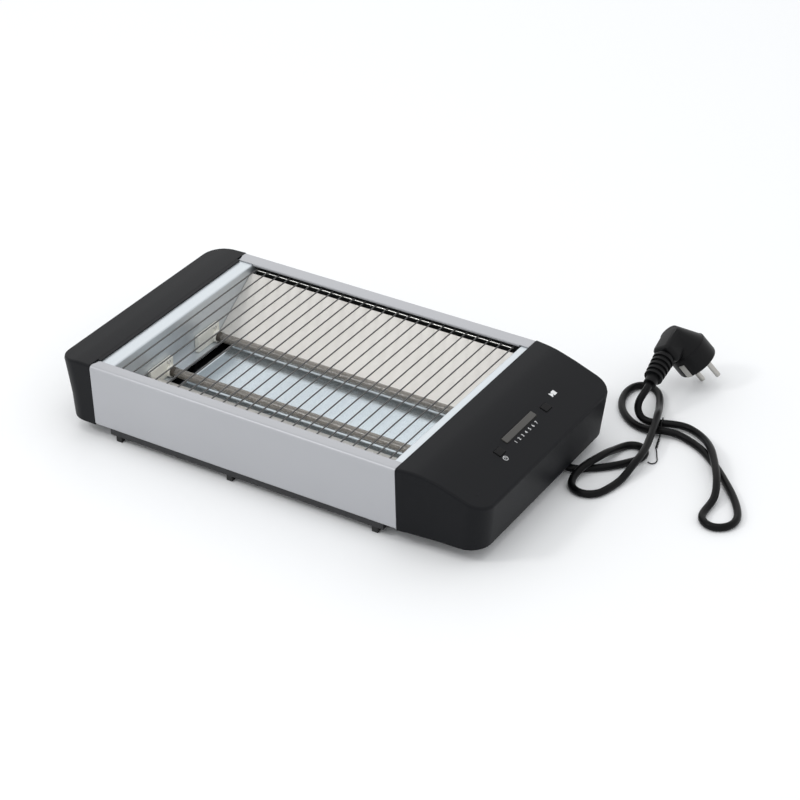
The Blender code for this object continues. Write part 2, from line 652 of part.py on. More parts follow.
def build_crumb_tray():
    """Tray with a beaded edge and hems at its sides, closed at the back by a plate."""
    half = THIN_SHEET / 2
    floor = PANEL_BOTTOM + TRAY_FLOOR_TOP - half
    bead = floor + TRAY_BEAD_HEIGHT
    hem = PANEL_BOTTOM + TRAY_FLOOR_TOP - TRAY_HEM_DROP
    left, right = TRAY_LEFT + half, TRAY_RIGHT - half
    path = [
        (left, hem), (left, bead),
        (left + TRAY_BEAD_WIDTH, bead), (left + TRAY_BEAD_WIDTH * 2, floor),
        (right - TRAY_BEAD_WIDTH * 2, floor), (right - TRAY_BEAD_WIDTH, bead),
        (right, bead), (right, hem),
    ]
    plate_face = BACK - panel_inset(TRAY_PLATE_TOP) + GAP
    tray = folded_sheet("crumb_tray", path, -HEATER_Y - TRAY_BEYOND_HEATER, plate_face + half,
                        THIN_SHEET, TIGHT_BEND / 2, "bright_steel", along="Y")
    plate_low = (TRAY_LEFT - TRAY_PLATE_OVERLAP, plate_face, PANEL_BOTTOM + TRAY_PLATE_BOTTOM)
    plate_high = (TRAY_RIGHT + TRAY_PLATE_OVERLAP, plate_face + THIN_SHEET, PANEL_BOTTOM + TRAY_PLATE_TOP)
    fuse_box(tray, "tray_plate", plate_low, plate_high)
    lip_middle = plate_face + half - SMALL_EDGE / 4
    lip_low = PANEL_BOTTOM + TRAY_PLATE_BOTTOM - HANDLE_DROP
    lip_path = [
        (lip_middle, lip_low + HANDLE_DROP * 2), (lip_middle, lip_low),
        (lip_middle + HANDLE_REACH, lip_low),
    ]
    lip = folded_sheet("tray_lip", lip_path, CHAMBER_MIDDLE - HANDLE_LENGTH / 2,
                       CHAMBER_MIDDLE + HANDLE_LENGTH / 2, THIN_SHEET, TIGHT_BEND / 2, "bright_steel")
    PARTS.objects.unlink(lip)
    CUTTERS.objects.link(lip)
    combine(tray, lip, "UNION")


def build_tray_rails():
    """Channels on the base plate that carry the tray's floor near its sides."""
    half = THIN_SHEET / 2
    top = PANEL_BOTTOM + TRAY_FLOOR_TOP - THIN_SHEET - GAP - half
    bottom = BASE_TOP + GAP + half
    start = -HEATER_Y - TRAY_BEYOND_HEATER
    for name, edge, inward in (("left_tray_rail", TRAY_LEFT, 1), ("right_tray_rail", TRAY_RIGHT, -1)):
        near = edge + inward * (TRAY_BEAD_WIDTH * 2 + THIN_SHEET * 2)
        far = near + inward * TRAY_RAIL_WIDTH
        path = [(far, bottom), (near, bottom), (near, top), (far, top)]
        folded_sheet(name, path, start, start + TRAY_RAIL_LENGTH, THIN_SHEET, TIGHT_BEND / 2,
                     "galvanised", along="Y")


def build_base():
    """Black inverted pan under the casing, with its feet set inside the skirt."""
    half = THIN_SHEET / 2
    low = (BASE_LEFT, FRONT + BASE_FRONT_INSET, BASE_TOP - BASE_SKIRT)
    high = (BASE_RIGHT, BACK - BASE_FRONT_INSET, BASE_TOP)
    bm = bmesh.new()
    add_box(bm, low, high)
    bottom = [f for f in bm.faces if f.normal.z < -0.9]
    bmesh.ops.delete(bm, geom=bottom, context="FACES")
    pan = object_from_bmesh("base_plate", bm, "black_paint")
    solid = pan.modifiers.new("thickness", "SOLIDIFY")
    solid.thickness = THIN_SHEET
    solid.offset = -1.0
    solid.use_even_offset = True
    inset = BASE_FRONT_INSET + THIN_SHEET + GAP
    for place_name, x in FOOT_PLACES.items():
        for side_name, side in HEATER_SIDES.items():
            outer = side * (CASING_DEPTH / 2 - inset)
            inner = outer - side * FOOT_DEPTH
            box(f"foot_{side_name}_{place_name}", (x - FOOT_LENGTH / 2, min(inner, outer), 0.0),
                (x + FOOT_LENGTH / 2, max(inner, outer), BASE_TOP - THIN_SHEET - GAP), "component", SMALL_EDGE)


def build_heaters():
    """Quartz tubes with their coils, ceramic holders and metal end caps."""
    tube_left = LEFT_WALL - THIN_SHEET - TUBE_STANDOFF
    tube_right = RIGHT_WALL + THIN_SHEET + TUBE_STANDOFF
    for side_name, side in HEATER_SIDES.items():
        middle = side * HEATER_Y
        tube = rod(f"{side_name}_heater_tube", (tube_left, middle, HEATER_Z),
                   (tube_right, middle, HEATER_Z), TUBE_DIAMETER / 2, "quartz", segments=24)
        cut_rod(tube, f"{side_name}_bore", (tube_left - CUT_OVERRUN, middle, HEATER_Z),
                (tube_right + CUT_OVERRUN, middle, HEATER_Z), TUBE_BORE / 2, segments=24)
        rod(f"{side_name}_heating_coil", (tube_left - GAP, middle, HEATER_Z),
            (tube_right + GAP, middle, HEATER_Z), COIL_DIAMETER / 2, "coil", segments=12)
        for end_name, wall, inward in (("left", LEFT_WALL, 1), ("right", RIGHT_WALL, -1)):
            near = wall + inward * GAP
            far = near + inward * HOLDER_THICKNESS
            holder = box(f"heater_holder_{side_name}_{end_name}",
                         (min(near, far), middle - HOLDER_LONG_SIDE, PANEL_BOTTOM + HOLDER_BOTTOM),
                         (max(near, far), middle + HOLDER_SHORT_SIDE, PANEL_BOTTOM + HOLDER_TOP),
                         "ceramic", SMALL_EDGE)
            cut_rod(holder, f"{side_name}_{end_name}_holder_hole", (near - inward * CUT_OVERRUN, middle, HEATER_Z),
                    (far + inward * CUT_OVERRUN, middle, HEATER_Z), TUBE_DIAMETER / 2 + GAP, segments=24)
            tube_end = tube_left if inward > 0 else tube_right
            cap_start = tube_end - inward * GAP * 2
            cap_end = cap_start - inward * TERMINAL_WALL
            tab_start = (cap_start + cap_end) / 2
            tab_end = cap_end - inward * TERMINAL_TAB
            terminal_name = f"heater_terminal_{side_name}_{end_name}"
            terminal = rod(terminal_name, (cap_start, middle, HEATER_Z), (cap_end, middle, HEATER_Z),
                           TUBE_DIAMETER / 2 + TERMINAL_WALL, "bright_steel", segments=16)
            half_y, half_z = TERMINAL_WIDTH / 2, THIN_SHEET / 2
            fuse_box(terminal, terminal_name + "_tab",
                     (min(tab_start, tab_end), middle - half_y, HEATER_Z - half_z),
                     (max(tab_start, tab_end), middle + half_y, HEATER_Z + half_z))


def housing_cage(start, out, reach, sizes, shrink=0.0, slab=0.0):
    """Block of a moulded end: cut at its stations, then each corner is put in place."""
    height = PANEL_HEIGHT + HOUSING_RISE
    rows = sizes["rows"]
    if slab:
        rows = ((0.0, 1.0), (slab / height, between(slab / height, rows, 1)))
    bm = bmesh.new()
    bmesh.ops.create_cube(bm, size=1.0)
    for share, _, _ in sizes["stations"][1:-1]:
        bmesh.ops.bisect_plane(bm, geom=bm.verts[:] + bm.edges[:] + bm.faces[:],
                               plane_co=(share - 0.5, 0, 0), plane_no=(1, 0, 0))
    for row in rows[1:-1]:
        bmesh.ops.bisect_plane(bm, geom=bm.verts[:] + bm.edges[:] + bm.faces[:],
                               plane_co=(0, 0, row[0] - 0.5), plane_no=(0, 0, 1))
    top_row = rows[-1][0]
    for vert in bm.verts:
        along = vert.co.x + 0.5
        up = vert.co.z + 0.5 if not slab else (vert.co.z + 0.5) * top_row
        side = math.copysign(1.0, vert.co.y)
        taper = sizes["taper"] * between(up, sizes["rows"], 1)
        lean = PANEL_LEAN * (1 - up)
        inset = sizes["inset"] * between(along, sizes["stations"], 2)
        drop = sizes["drop"] * between(along, sizes["stations"], 1)
        vert.co = (
            start + out * along * (reach - taper - shrink),
            side * (CASING_DEPTH / 2 - inset - lean - shrink),
            PANEL_BOTTOM + up * (height if slab else height - drop),
        )
    if out < 0:
        bmesh.ops.reverse_faces(bm, faces=bm.faces)
    far = [e for e in bm.edges if all(abs(v.co.y) > CASING_DEPTH / 4 for v in e.verts)
           and e.verts[0].co.y * e.verts[1].co.y > 0
           and all(abs(v.co.x - start) > (reach - sizes["taper"] - shrink) * 0.999 for v in e.verts)]
    bmesh.ops.bevel(bm, geom=far, offset=sizes["corner"] - shrink, segments=6, affect="EDGES",
                    profile=0.5, offset_type="OFFSET")
    return bm


def housing_shell(name, start, out, reach, sizes):
    """Moulded end: rounded block, open at the bottom and towards the casing."""
    bm = housing_cage(start, out, reach, sizes)
    bm.normal_update()
    top = [f for f in bm.faces if f.normal.z > 0.7]
    rim = {e for f in top for e in f.edges
           if any(g.normal.z < 0.7 for g in e.link_faces) and any(abs(v.co.x - start) > GAP for v in e.verts)}
    bmesh.ops.bevel(bm, geom=list(rim), offset=sizes["edge"], segments=2, affect="EDGES", profile=0.5)
    bm.normal_update()
    open_faces = [f for f in bm.faces if f.normal.z < -0.9
                  or (f.normal.x * out < -0.9 and abs(f.calc_center_median().x - start) < GAP)]
    bmesh.ops.delete(bm, geom=open_faces, context="FACES")
    shell = object_from_bmesh(name, bm, "black_plastic", smooth=True)
    solid = shell.modifiers.new("wall", "SOLIDIFY")
    solid.thickness = HOUSING_WALL
    solid.offset = -1.0
    solid.use_even_offset = True
    return shell


def boss_places(start, out, reach, sizes):
    """Screw places in a housing's bottom, near its outer corners."""
    far = start + out * (reach - sizes["taper"] - BOSS_INSET)
    side = CASING_DEPTH / 2 - PANEL_LEAN - sizes["inset"] - BOSS_INSET
    return {"front": (far, -side), "rear": (far, side)}


def roof_height(start, out, reach, sizes, x):
    """Height of a housing's roof over a place along X."""
    share = (x - start) * out / reach
    return PANEL_TOP + HOUSING_RISE - sizes["drop"] * between(share, sizes["stations"], 1)


CAP_SIZES = {
    "stations": CAP_STATION_SHARES, "rows": CAP_ROW_SHARES, "drop": CAP_DROP,
    "inset": CAP_SIDE_INSET, "taper": CAP_END_TAPER, "corner": CAP_CORNER, "edge": HOUSING_EDGE,
}
HOUSING_SIZES = {
    "stations": HOUSING_STATION_SHARES, "rows": HOUSING_ROW_SHARES, "drop": HOUSING_DROP,
    "inset": HOUSING_SIDE_INSET, "taper": HOUSING_END_TAPER, "corner": HOUSING_CORNER,
    "edge": HOUSING_EDGE,
}


def build_screw(name, x, y):
    """One cover screw, put in from below."""
    head_top = PANEL_BOTTOM - GAP
    head_bottom = head_top - SCREW_HEAD_HEIGHT
    tip = PANEL_BOTTOM + COVER_THICKNESS + SCREW_LENGTH - GAP
    head = rod(name, (x, y, head_bottom), (x, y, head_top), SCREW_HEAD / 2, "bright_steel", segments=14)
    fuse_rod(head, name + "_shank", (x, y, (head_bottom + head_top) / 2), (x, y, tip), SCREW_DIAMETER / 2, 14)


def build_housing_with_cover(name, cover_name, start, out, reach, sizes):
    """One moulded end with its screw bosses, and its bottom cover held by screws."""
    shell = housing_shell(name, start, out, reach, sizes)
    bm = housing_cage(start + out * GAP, out, reach - GAP, sizes, HOUSING_WALL + GAP, COVER_THICKNESS)
    bm.normal_update()
    cover = object_from_bmesh(cover_name, bm, "black_plastic")
    cover_top = PANEL_BOTTOM + COVER_THICKNESS
    for index, (x, y) in boss_places(start, out, reach, sizes).items():
        roof = roof_height(start, out, reach, sizes, x) - HOUSING_WALL / 2
        fuse_rod(shell, f"{name}_boss_{index}", (x, y, cover_top + GAP), (x, y, roof), BOSS_DIAMETER / 2)
        cut_rod(shell, f"{name}_pilot_{index}", (x, y, cover_top), (x, y, cover_top + SCREW_LENGTH + GAP),
                SCREW_DIAMETER / 2 + GAP, segments=12)
        cut_rod(cover, f"{name}_screw_hole_{index}", (x, y, PANEL_BOTTOM - CUT_OVERRUN),
                (x, y, cover_top + CUT_OVERRUN), SCREW_DIAMETER / 2 + GAP, segments=12)
        build_screw(f"{cover_name.split('_')[0]}_screw_{index}", x, y)
    return shell, cover


SLOPE_START = HOUSING_START + HOUSING_REACH * HOUSING_STATION_SHARES[ROOF_BEND_SHARE][0]
SLOPE_ANGLE = math.atan2(
    HOUSING_DROP * (1 - HOUSING_STATION_SHARES[ROOF_BEND_SHARE][1]),
    HOUSING_REACH * (1 - HOUSING_STATION_SHARES[ROOF_BEND_SHARE][0]),
)


def slope_place(from_bend, from_front, depth=0.0):
    """A point on the sloped roof, or below it, with X along the slope and Z out of it."""
    x = SLOPE_START + from_bend
    z = roof_height(HOUSING_START, 1, HOUSING_REACH, HOUSING_SIZES, x)
    place = Matrix.Translation((x, FRONT + from_front, z)) @ Matrix.Rotation(SLOPE_ANGLE, 4, "Y")
    return place @ Matrix.Translation((0, 0, -depth))


def build_window_and_lights(housing):
    """Raised window bar in its slot, with a row of lights on the board below."""
    place = slope_place(WINDOW_FROM_BEND, WINDOW_FRONT + WINDOW_LENGTH / 2)
    half = Vector((WINDOW_WIDTH / 2, WINDOW_LENGTH / 2, 0))
    room = Vector((GAP, GAP, 0))
    cut_box(housing, "window_slot", -half - room - Vector((0, 0, CUT_OVERRUN)),
            half + room + Vector((0, 0, CUT_OVERRUN)), turn=place)
    box("level_window", -half - Vector((0, 0, WINDOW_DEPTH)), half + Vector((0, 0, WINDOW_PROUD)),
        "lens", SMALL_EDGE, turn=place)
    bm = bmesh.new()
    side = LIGHT_SIZE / 2
    strip_low = GAP - BOARD_DEPTH
    strip_top = strip_low + LIGHT_STRIP
    for index in range(LIGHT_COUNT):
        y = (index - (LIGHT_COUNT - 1) / 2) * LIGHT_PITCH
        add_box(bm, (-side, y - side, (strip_low + strip_top) / 2), (side, y + side, -WINDOW_DEPTH - GAP), turn=place)
    reach = LIGHT_COUNT / 2 * LIGHT_PITCH
    lights = box("level_lights", (-side - SMALL_EDGE, -reach, strip_low), (side + SMALL_EDGE, reach, strip_top),
                 "lens", turn=place)
    combine(lights, object_from_bmesh("light_blocks", bm, None, CUTTERS), "UNION")


BOARD_DEPTH = (HOUSING_WALL + GAP * 2 + BUTTON_FLANGE_THICKNESS + BUTTON_TRAVEL + GAP
               + PLUNGER_HEIGHT + SWITCH_HEIGHT + GAP)


def build_button(housing, name, from_front):
    """Push button through the roof, held in by a flange under it."""
    place = slope_place(BUTTON_FROM_BEND, from_front)
    half_x, half_y = BUTTON_WIDTH / 2, BUTTON_LENGTH / 2
    cut_box(housing, name + "_hole", (-half_x - GAP, -half_y - GAP, -CUT_OVERRUN),
            (half_x + GAP, half_y + GAP, CUT_OVERRUN), turn=place)
    bm = bmesh.new()
    flange_top = -HOUSING_WALL - GAP * 2
    add_box(bm, (-half_x, -half_y, flange_top - BUTTON_FLANGE_THICKNESS / 2), (half_x, half_y, BUTTON_PROUD), SMALL_EDGE)
    button = object_from_bmesh(name, bm, "black_plastic")
    button.matrix_world = place
    flange_low = (-half_x - BUTTON_FLANGE, -half_y - BUTTON_FLANGE, flange_top - BUTTON_FLANGE_THICKNESS)
    flange_high = (half_x + BUTTON_FLANGE, half_y + BUTTON_FLANGE, flange_top)
    fuse_box(button, name + "_flange", flange_low, flange_high, turn=place)
    return place


def build_controls(housing):
    """Buttons, their switches, and the board that hangs on posts under the roof."""
    side = SWITCH_SIZE / 2
    for name, from_front in (("timer", TIMER_FROM_FRONT), ("start", START_FROM_FRONT)):
        place = build_button(housing, name + "_button", from_front)
        body_low = GAP - BOARD_DEPTH
        body_high = body_low + SWITCH_HEIGHT
        plunger_high = body_high + PLUNGER_HEIGHT
        switch = box(name + "_switch", (-side, -side, body_low), (side, side, body_high), "component", turn=place)
        fuse_rod(switch, name + "_plunger", place @ Vector((0, 0, body_low + SWITCH_HEIGHT / 2)),
                 place @ Vector((0, 0, plunger_high)), PLUNGER_DIAMETER / 2, 12)
    length = START_FROM_FRONT - TIMER_FROM_FRONT + CONTROL_BOARD_MARGIN * 2
    middle = slope_place((WINDOW_FROM_BEND + BUTTON_FROM_BEND) / 2, (START_FROM_FRONT + TIMER_FROM_FRONT) / 2)
    half_x, half_y = CONTROL_BOARD_WIDTH / 2, length / 2
    box("control_board", (-half_x, -half_y, -BOARD_DEPTH - BOARD_THICKNESS), (half_x, half_y, -BOARD_DEPTH),
        "board", turn=middle)
    for index, (sx, sy) in enumerate(((-1, -1), (-1, 1), (1, -1), (1, 1))):
        x = sx * (half_x - BOARD_POST / 2)
        y = sy * (half_y - BOARD_POST / 2)
        fuse_rod(housing, f"board_post_{index}", middle @ Vector((x, y, GAP - BOARD_DEPTH)),
                 middle @ Vector((x, y, -HOUSING_WALL / 2)), BOARD_POST / 2, segments=10)


def build_mains_side(cover):
    """Power board with its relay and terminal block, thermal fuse, gland and leads."""
    cover_top = PANEL_BOTTOM + COVER_THICKNESS
    left = HOUSING_START + POWER_BOARD_START
    right = left + POWER_BOARD_WIDTH
    front = FRONT + POWER_BOARD_FRONT
    back = front + POWER_BOARD_LENGTH
    board_bottom = cover_top + POWER_BOARD_POST + GAP
    board_top = board_bottom + BOARD_THICKNESS
    box("power_board", (left, front, board_bottom), (right, back, board_top), "board")
    post = BOARD_POST / 2
    for index, (x, y) in enumerate(((left + post, front + post), (left + post, back - post),
                                    (right - post, front + post), (right - post, back - post))):
        fuse_rod(cover, f"power_post_{index}", (x, y, cover_top - COVER_THICKNESS / 2),
                 (x, y, cover_top + POWER_BOARD_POST), post, segments=10)
    parts_bottom = board_top + GAP
    relay_x = left + BOARD_POST
    relay_y = front + BOARD_POST * 2
    box("relay", (relay_x, relay_y, parts_bottom),
        (relay_x + RELAY_WIDTH, relay_y + RELAY_LENGTH, parts_bottom + RELAY_HEIGHT), "component", SMALL_EDGE)
    block_y = back - BOARD_POST * 2 - TERMINAL_BLOCK_LENGTH
    box("terminal_block", (relay_x, block_y, parts_bottom),
        (relay_x + TERMINAL_BLOCK_WIDTH, block_y + TERMINAL_BLOCK_LENGTH, parts_bottom + TERMINAL_BLOCK_HEIGHT),
        "ceramic", SMALL_EDGE)
    fuse_x = RIGHT_WALL + THIN_SHEET + GAP + FUSE_DIAMETER / 2
    rod("thermal_fuse", (fuse_x, -FUSE_LENGTH / 2, PANEL_BOTTOM + FUSE_HEIGHT),
        (fuse_x, FUSE_LENGTH / 2, PANEL_BOTTOM + FUSE_HEIGHT), FUSE_DIAMETER / 2, "bright_steel")
    exit_x, exit_y, _ = beside_casing(CORD_ROUTE)[0]
    gland_right = exit_x - RELIEF_LENGTH - GAP
    gland_left = gland_right - GLAND_LENGTH
    build_gland(gland_left, gland_right, exit_x, exit_y)
    build_leads(relay_x, block_y, parts_bottom)


def build_gland(left, right, relief_end, middle):
    """Gland block under the cover with the tapered strain relief round the cord."""
    bm = bmesh.new()
    add_box(bm, (left, middle - GLAND_WIDTH / 2, PANEL_BOTTOM - GAP - GLAND_DROP),
            (right, middle + GLAND_WIDTH / 2, PANEL_BOTTOM - GAP), SMALL_EDGE)
    gland = object_from_bmesh("cord_gland", bm, "black_plastic")
    height = CORD_ROUTE[0][2]
    helper = rod("gland_relief", (right - GLAND_LENGTH / 3, middle, height), (relief_end - GAP, middle, height),
                 RELIEF_ROOT_DIAMETER / 2, None, RELIEF_TIP_DIAMETER / 2, 14, CUTTERS)
    combine(gland, helper, "UNION")


def build_leads(block_x, block_y, block_bottom):
    """Leads from the terminal block to the heaters, and the link between their far ends."""
    reach = TUBE_STANDOFF + THIN_SHEET + GAP * 3 + TERMINAL_WALL + TERMINAL_TAB
    lead = LEAD_DIAMETER / 2
    tab_left = LEFT_WALL - reach - GAP * 2 - lead
    rod("heater_link_lead", (tab_left, -HEATER_Y - lead, HEATER_Z), (tab_left, HEATER_Y + lead, HEATER_Z),
        lead, "component", segments=10)
    tab_right = RIGHT_WALL + reach + GAP * 2 + lead
    level = block_bottom + TERMINAL_BLOCK_HEIGHT / 2
    for side_name, side in HEATER_SIDES.items():
        y = block_y + TERMINAL_BLOCK_LENGTH * (2 + side) / 4
        rod(f"{side_name}_supply_lead", (block_x - GAP * 2 - lead, y, level),
            (tab_right, side * HEATER_Y, HEATER_Z), lead, "component", segments=10)


def beside_casing(points):
    """Drawn points of the cord's side, moved along with the gland's place on the housing."""
    return tuple((x + CORD_SHIFT, y, z) for x, y, z in points)


def least_self_gap(points, diameter):
    """Smallest free space between stretches of a tube that aren't neighbours on it."""
    travel = np.concatenate(([0.0], np.cumsum(np.linalg.norm(np.diff(points, axis=0), axis=1))))
    apart = np.abs(travel[:, None] - travel[None]) > diameter * 4
    spread = np.linalg.norm(points[:, None] - points[None], axis=2)
    return float(spread[apart].min() - diameter)


def build_cord():
    """The tied mains cord on the table, drawn as one tube along its route."""
    plug_axis = Vector(PLUG_CORD_AXIS).normalized()
    end = Vector(PLUG_START) - plug_axis * (PLUG_COLLAR + GAP)
    route = beside_casing(CORD_ROUTE + (tuple(end - plug_axis * CORD_DIAMETER), tuple(end)))
    points, length = smooth_curve(route, CORD_STEP, CORD_DIAMETER)
    fine, _ = smooth_curve(route, CORD_DIAMETER / 4)
    gap = least_self_gap(fine, CORD_DIAMETER)
    print(f"cord length {length:.3f} m, least gap to itself {gap * 1000:.2f} mm")
    if gap < LEAST_CORD_GAP:
        print("the cord comes too close to itself")
    tube_along("cord", points, CORD_DIAMETER, "cord", CORD_SIDES_LEVEL)


def twisted_end(side):
    """One of the two wires of the twist, from the ring outwards."""
    start, end = Vector(TIE_TWIST_END), Vector(TIE_TWIST_START)
    along = (end - start).normalized()
    across = along.cross(Vector((0, 0, 1)))
    up = across.cross(along)
    radius = TIE_DIAMETER / 2 + TIE_CLEARANCE
    points = []
    for step in range(TIE_TWIST_STEPS + 1):
        share = step / TIE_TWIST_STEPS
        angle = math.tau * TIE_TWISTS * share
        offset = (across * math.sin(angle) + up * math.cos(angle)) * side * radius
        points.append(tuple(start.lerp(end, share) + offset))
    return tuple(points)


def build_tie():
    """Wire tie: a loose end, the twist, one turn round two strands, and the twist again."""
    route = beside_casing(TIE_TAIL + twisted_end(-1)[::-1] + TIE_RING + twisted_end(1))
    points, _ = smooth_curve(route, TIE_DIAMETER)
    tube_along("cord_tie", points, TIE_DIAMETER, "cord", 1)


def plug_matrix():
    """Plug frame: X away from the cord, Z away from the pins, at the ribbed relief's start."""
    along = Vector(PLUG_CORD_AXIS).normalized()
    up = -Vector(PLUG_PIN_AXIS)
    up = (up - along * up.dot(along)).normalized()
    across = up.cross(along)
    turn = Matrix((along, across, up)).transposed().to_4x4()
    return Matrix.Translation(beside_casing([PLUG_START])[0]) @ turn


def turned_piece(name, profile, place, material, steps=20):
    """Turn a profile of (distance along X, radius) pairs into a solid at a place."""
    mesh = bpy.data.meshes.new(name)
    points = [(x, 0, r) for x, r in profile]
    mesh.from_pydata(points, [(i, i + 1) for i in range(len(points) - 1)], [])
    piece = add_object(name, mesh, material)
    piece.matrix_world = place
    screw = piece.modifiers.new("turn", "SCREW")
    screw.axis = "X"
    screw.steps = steps
    screw.render_steps = steps
    screw.use_merge_vertices = True
    screw.merge_threshold = 0.00001
    return piece


def build_plug():
    """Angled plug lying on one pin tip: ribbed relief, grip, round body, pins and earths."""
    place = plug_matrix()
    profile = [(-PLUG_COLLAR, 0.0), (-PLUG_COLLAR, PLUG_COLLAR_DIAMETER / 2), (0.0, PLUG_COLLAR_DIAMETER / 2)]
    pitch = PLUG_RELIEF_LENGTH / PLUG_RIBS
    for index in range(PLUG_RIBS):
        share = index / (PLUG_RIBS - 1)
        radius = (PLUG_RELIEF_ROOT * (1 - share) + PLUG_RELIEF_TIP * share) / 2
        start = index * pitch
        profile += [(start, radius), (start + pitch / 2, radius),
                    (start + pitch / 2, radius - RIB_DEPTH), (start + pitch, radius - RIB_DEPTH)]
    profile += [(PLUG_RELIEF_LENGTH, 0.0)]
    turned_piece("plug_relief", profile[::-1], place, "cord")
    grip_start = PLUG_RELIEF_LENGTH + GAP
    bm = bmesh.new()
    add_box(bm, (grip_start, -GRIP_WIDTH / 2, -GRIP_HEIGHT / 2),
            (grip_start + GRIP_LENGTH, GRIP_WIDTH / 2, GRIP_HEIGHT / 2), GRIP_EDGE, segments=3, turn=place)
    body = object_from_bmesh("plug_body", bm, "cord", smooth=True)
    puck_top = PUCK_HEIGHT - FACE_OFFSET
    bm = bmesh.new()
    add_rod(bm, (PUCK_CENTRE, 0, puck_top), (PUCK_CENTRE, 0, -FACE_OFFSET), PUCK_DIAMETER / 2, segments=32)
    rim = [e for e in bm.edges if all(v.co.z < puck_top - PUCK_HEIGHT / 2 for v in e.verts)]
    bmesh.ops.bevel(bm, geom=rim, offset=PUCK_EDGE, segments=2, affect="EDGES", profile=0.5)
    bmesh.ops.transform(bm, matrix=place, verts=bm.verts)
    combine(body, object_from_bmesh("puck", bm, None, CUTTERS), "UNION")
    bm = bmesh.new()
    add_rod(bm, (PUCK_CENTRE, 0, puck_top - GAP), (PUCK_CENTRE, 0, GRIP_HEIGHT / 2 - SMALL_EDGE),
            PUCK_DIAMETER / 2 - GAP, SHOULDER_TOP_DIAMETER / 2, segments=32)
    upper = [v for v in bm.verts if v.co.z > 0]
    bmesh.ops.translate(bm, vec=(-SHOULDER_SHIFT, 0, 0), verts=upper)
    bmesh.ops.transform(bm, matrix=place, verts=bm.verts)
    combine(body, object_from_bmesh("shoulder", bm, None, CUTTERS), "UNION")
    insert_x, insert_y = PIN_DIAMETER, PIN_SPACING / 2 + PIN_DIAMETER
    insert_low = (PUCK_CENTRE - insert_x, -insert_y, -FACE_OFFSET)
    insert_high = (PUCK_CENTRE + insert_x, insert_y, -FACE_OFFSET + INSERT_DEPTH)
    room = Vector((GAP, GAP, GAP))
    cut_box(body, "insert_recess", Vector(insert_low) - room - Vector((0, 0, CUT_OVERRUN)),
            Vector(insert_high) + room, turn=place)
    pins = box("plug_pins", insert_low, insert_high, "pin_metal", turn=place)
    bm = bmesh.new()
    for side in (-1, 1):
        y = side * PIN_SPACING / 2
        add_rod(bm, (PUCK_CENTRE, y, -FACE_OFFSET + INSERT_DEPTH / 2), (PUCK_CENTRE, y, -FACE_OFFSET - PIN_LENGTH),
                PIN_DIAMETER / 2, segments=14)
    tips = [e for e in bm.edges if all(v.co.z < -FACE_OFFSET - PIN_LENGTH / 2 for v in e.verts)]
    bmesh.ops.bevel(bm, geom=tips, offset=PIN_EDGE, segments=2, affect="EDGES", profile=0.5)
    bmesh.ops.transform(bm, matrix=place, verts=bm.verts)
    combine(pins, object_from_bmesh("pins", bm, None, CUTTERS), "UNION")
    build_earth(body, place)


def build_earth(body, place):
    """Earth strip: a contact in a groove at each side, joined by a bridge above the insert."""
    bridge_low = -FACE_OFFSET + EARTH_HEIGHT - EARTH_THICKNESS
    outer = PUCK_DIAMETER / 2 - GAP * 2
    half = EARTH_WIDTH / 2
    strip = box("earth_strip", (PUCK_CENTRE - outer, -half, bridge_low),
                (PUCK_CENTRE + outer, half, bridge_low + EARTH_THICKNESS), "pin_metal", turn=place)
    cut_box(body, "bridge_slot", (PUCK_CENTRE - outer - CUT_OVERRUN, -half - GAP, bridge_low - GAP),
            (PUCK_CENTRE + outer + CUT_OVERRUN, half + GAP, bridge_low + EARTH_THICKNESS + GAP), turn=place)
    for side in (-1, 1):
        far = PUCK_CENTRE + side * outer
        near = far - side * EARTH_THICKNESS
        fuse_box(strip, f"earth_contact_{side}", (min(near, far), -half, -FACE_OFFSET + GAP),
                 (max(near, far), half, bridge_low + EARTH_THICKNESS), turn=place)
        cut_near, cut_far = near - side * GAP, far + side * CUT_OVERRUN
        cut_box(body, f"earth_groove_{side}", (min(cut_near, cut_far), -half - GAP, -FACE_OFFSET - CUT_OVERRUN),
                (max(cut_near, cut_far), half + GAP, bridge_low + EARTH_THICKNESS + GAP), turn=place)


def build_end_housings():
    cap, _ = build_housing_with_cover("left_end_cap", "left_bottom_cover", CASING_LEFT, -1, CAP_REACH,
                                      CAP_SIZES)
    tongue_top = PANEL_TOP + HOUSING_RISE - GAP / 3
    fuse_box(cap, "cap_tongue",
             (CASING_LEFT - HOUSING_WALL, FRONT + FLANGE_DEPTH + GAP, tongue_top - TONGUE_THICKNESS),
             (CASING_LEFT + TONGUE_REACH, BACK - REAR_FLANGE_DEPTH - GAP, tongue_top))
    housing, cover = build_housing_with_cover("control_housing", "housing_bottom_cover", HOUSING_START, 1,
                                              HOUSING_REACH, HOUSING_SIZES)
    build_window_and_lights(housing)
    build_controls(housing)
    build_mains_side(cover)


build_panels()
build_end_frames()
build_grid()
build_reflectors()
build_crumb_tray()
build_tray_rails()
build_base()
build_heaters()
build_end_housings()
build_cord()
build_tie()
build_plug()
bpy.context.view_layer.update()
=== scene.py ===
# %% [markdown]
# # Dressing a flat toaster
# The toaster's solids are already built, so this notebook is about looks. It loads them as a
# fixed frame, gives each visible piece fine edges and a real finish, models what is too fine
# for the solids, and ends with light. Everything is in metres.

# %% Load the frame
import json
import math

import bmesh
import bpy
import numpy as np
from mathutils import Matrix, Vector


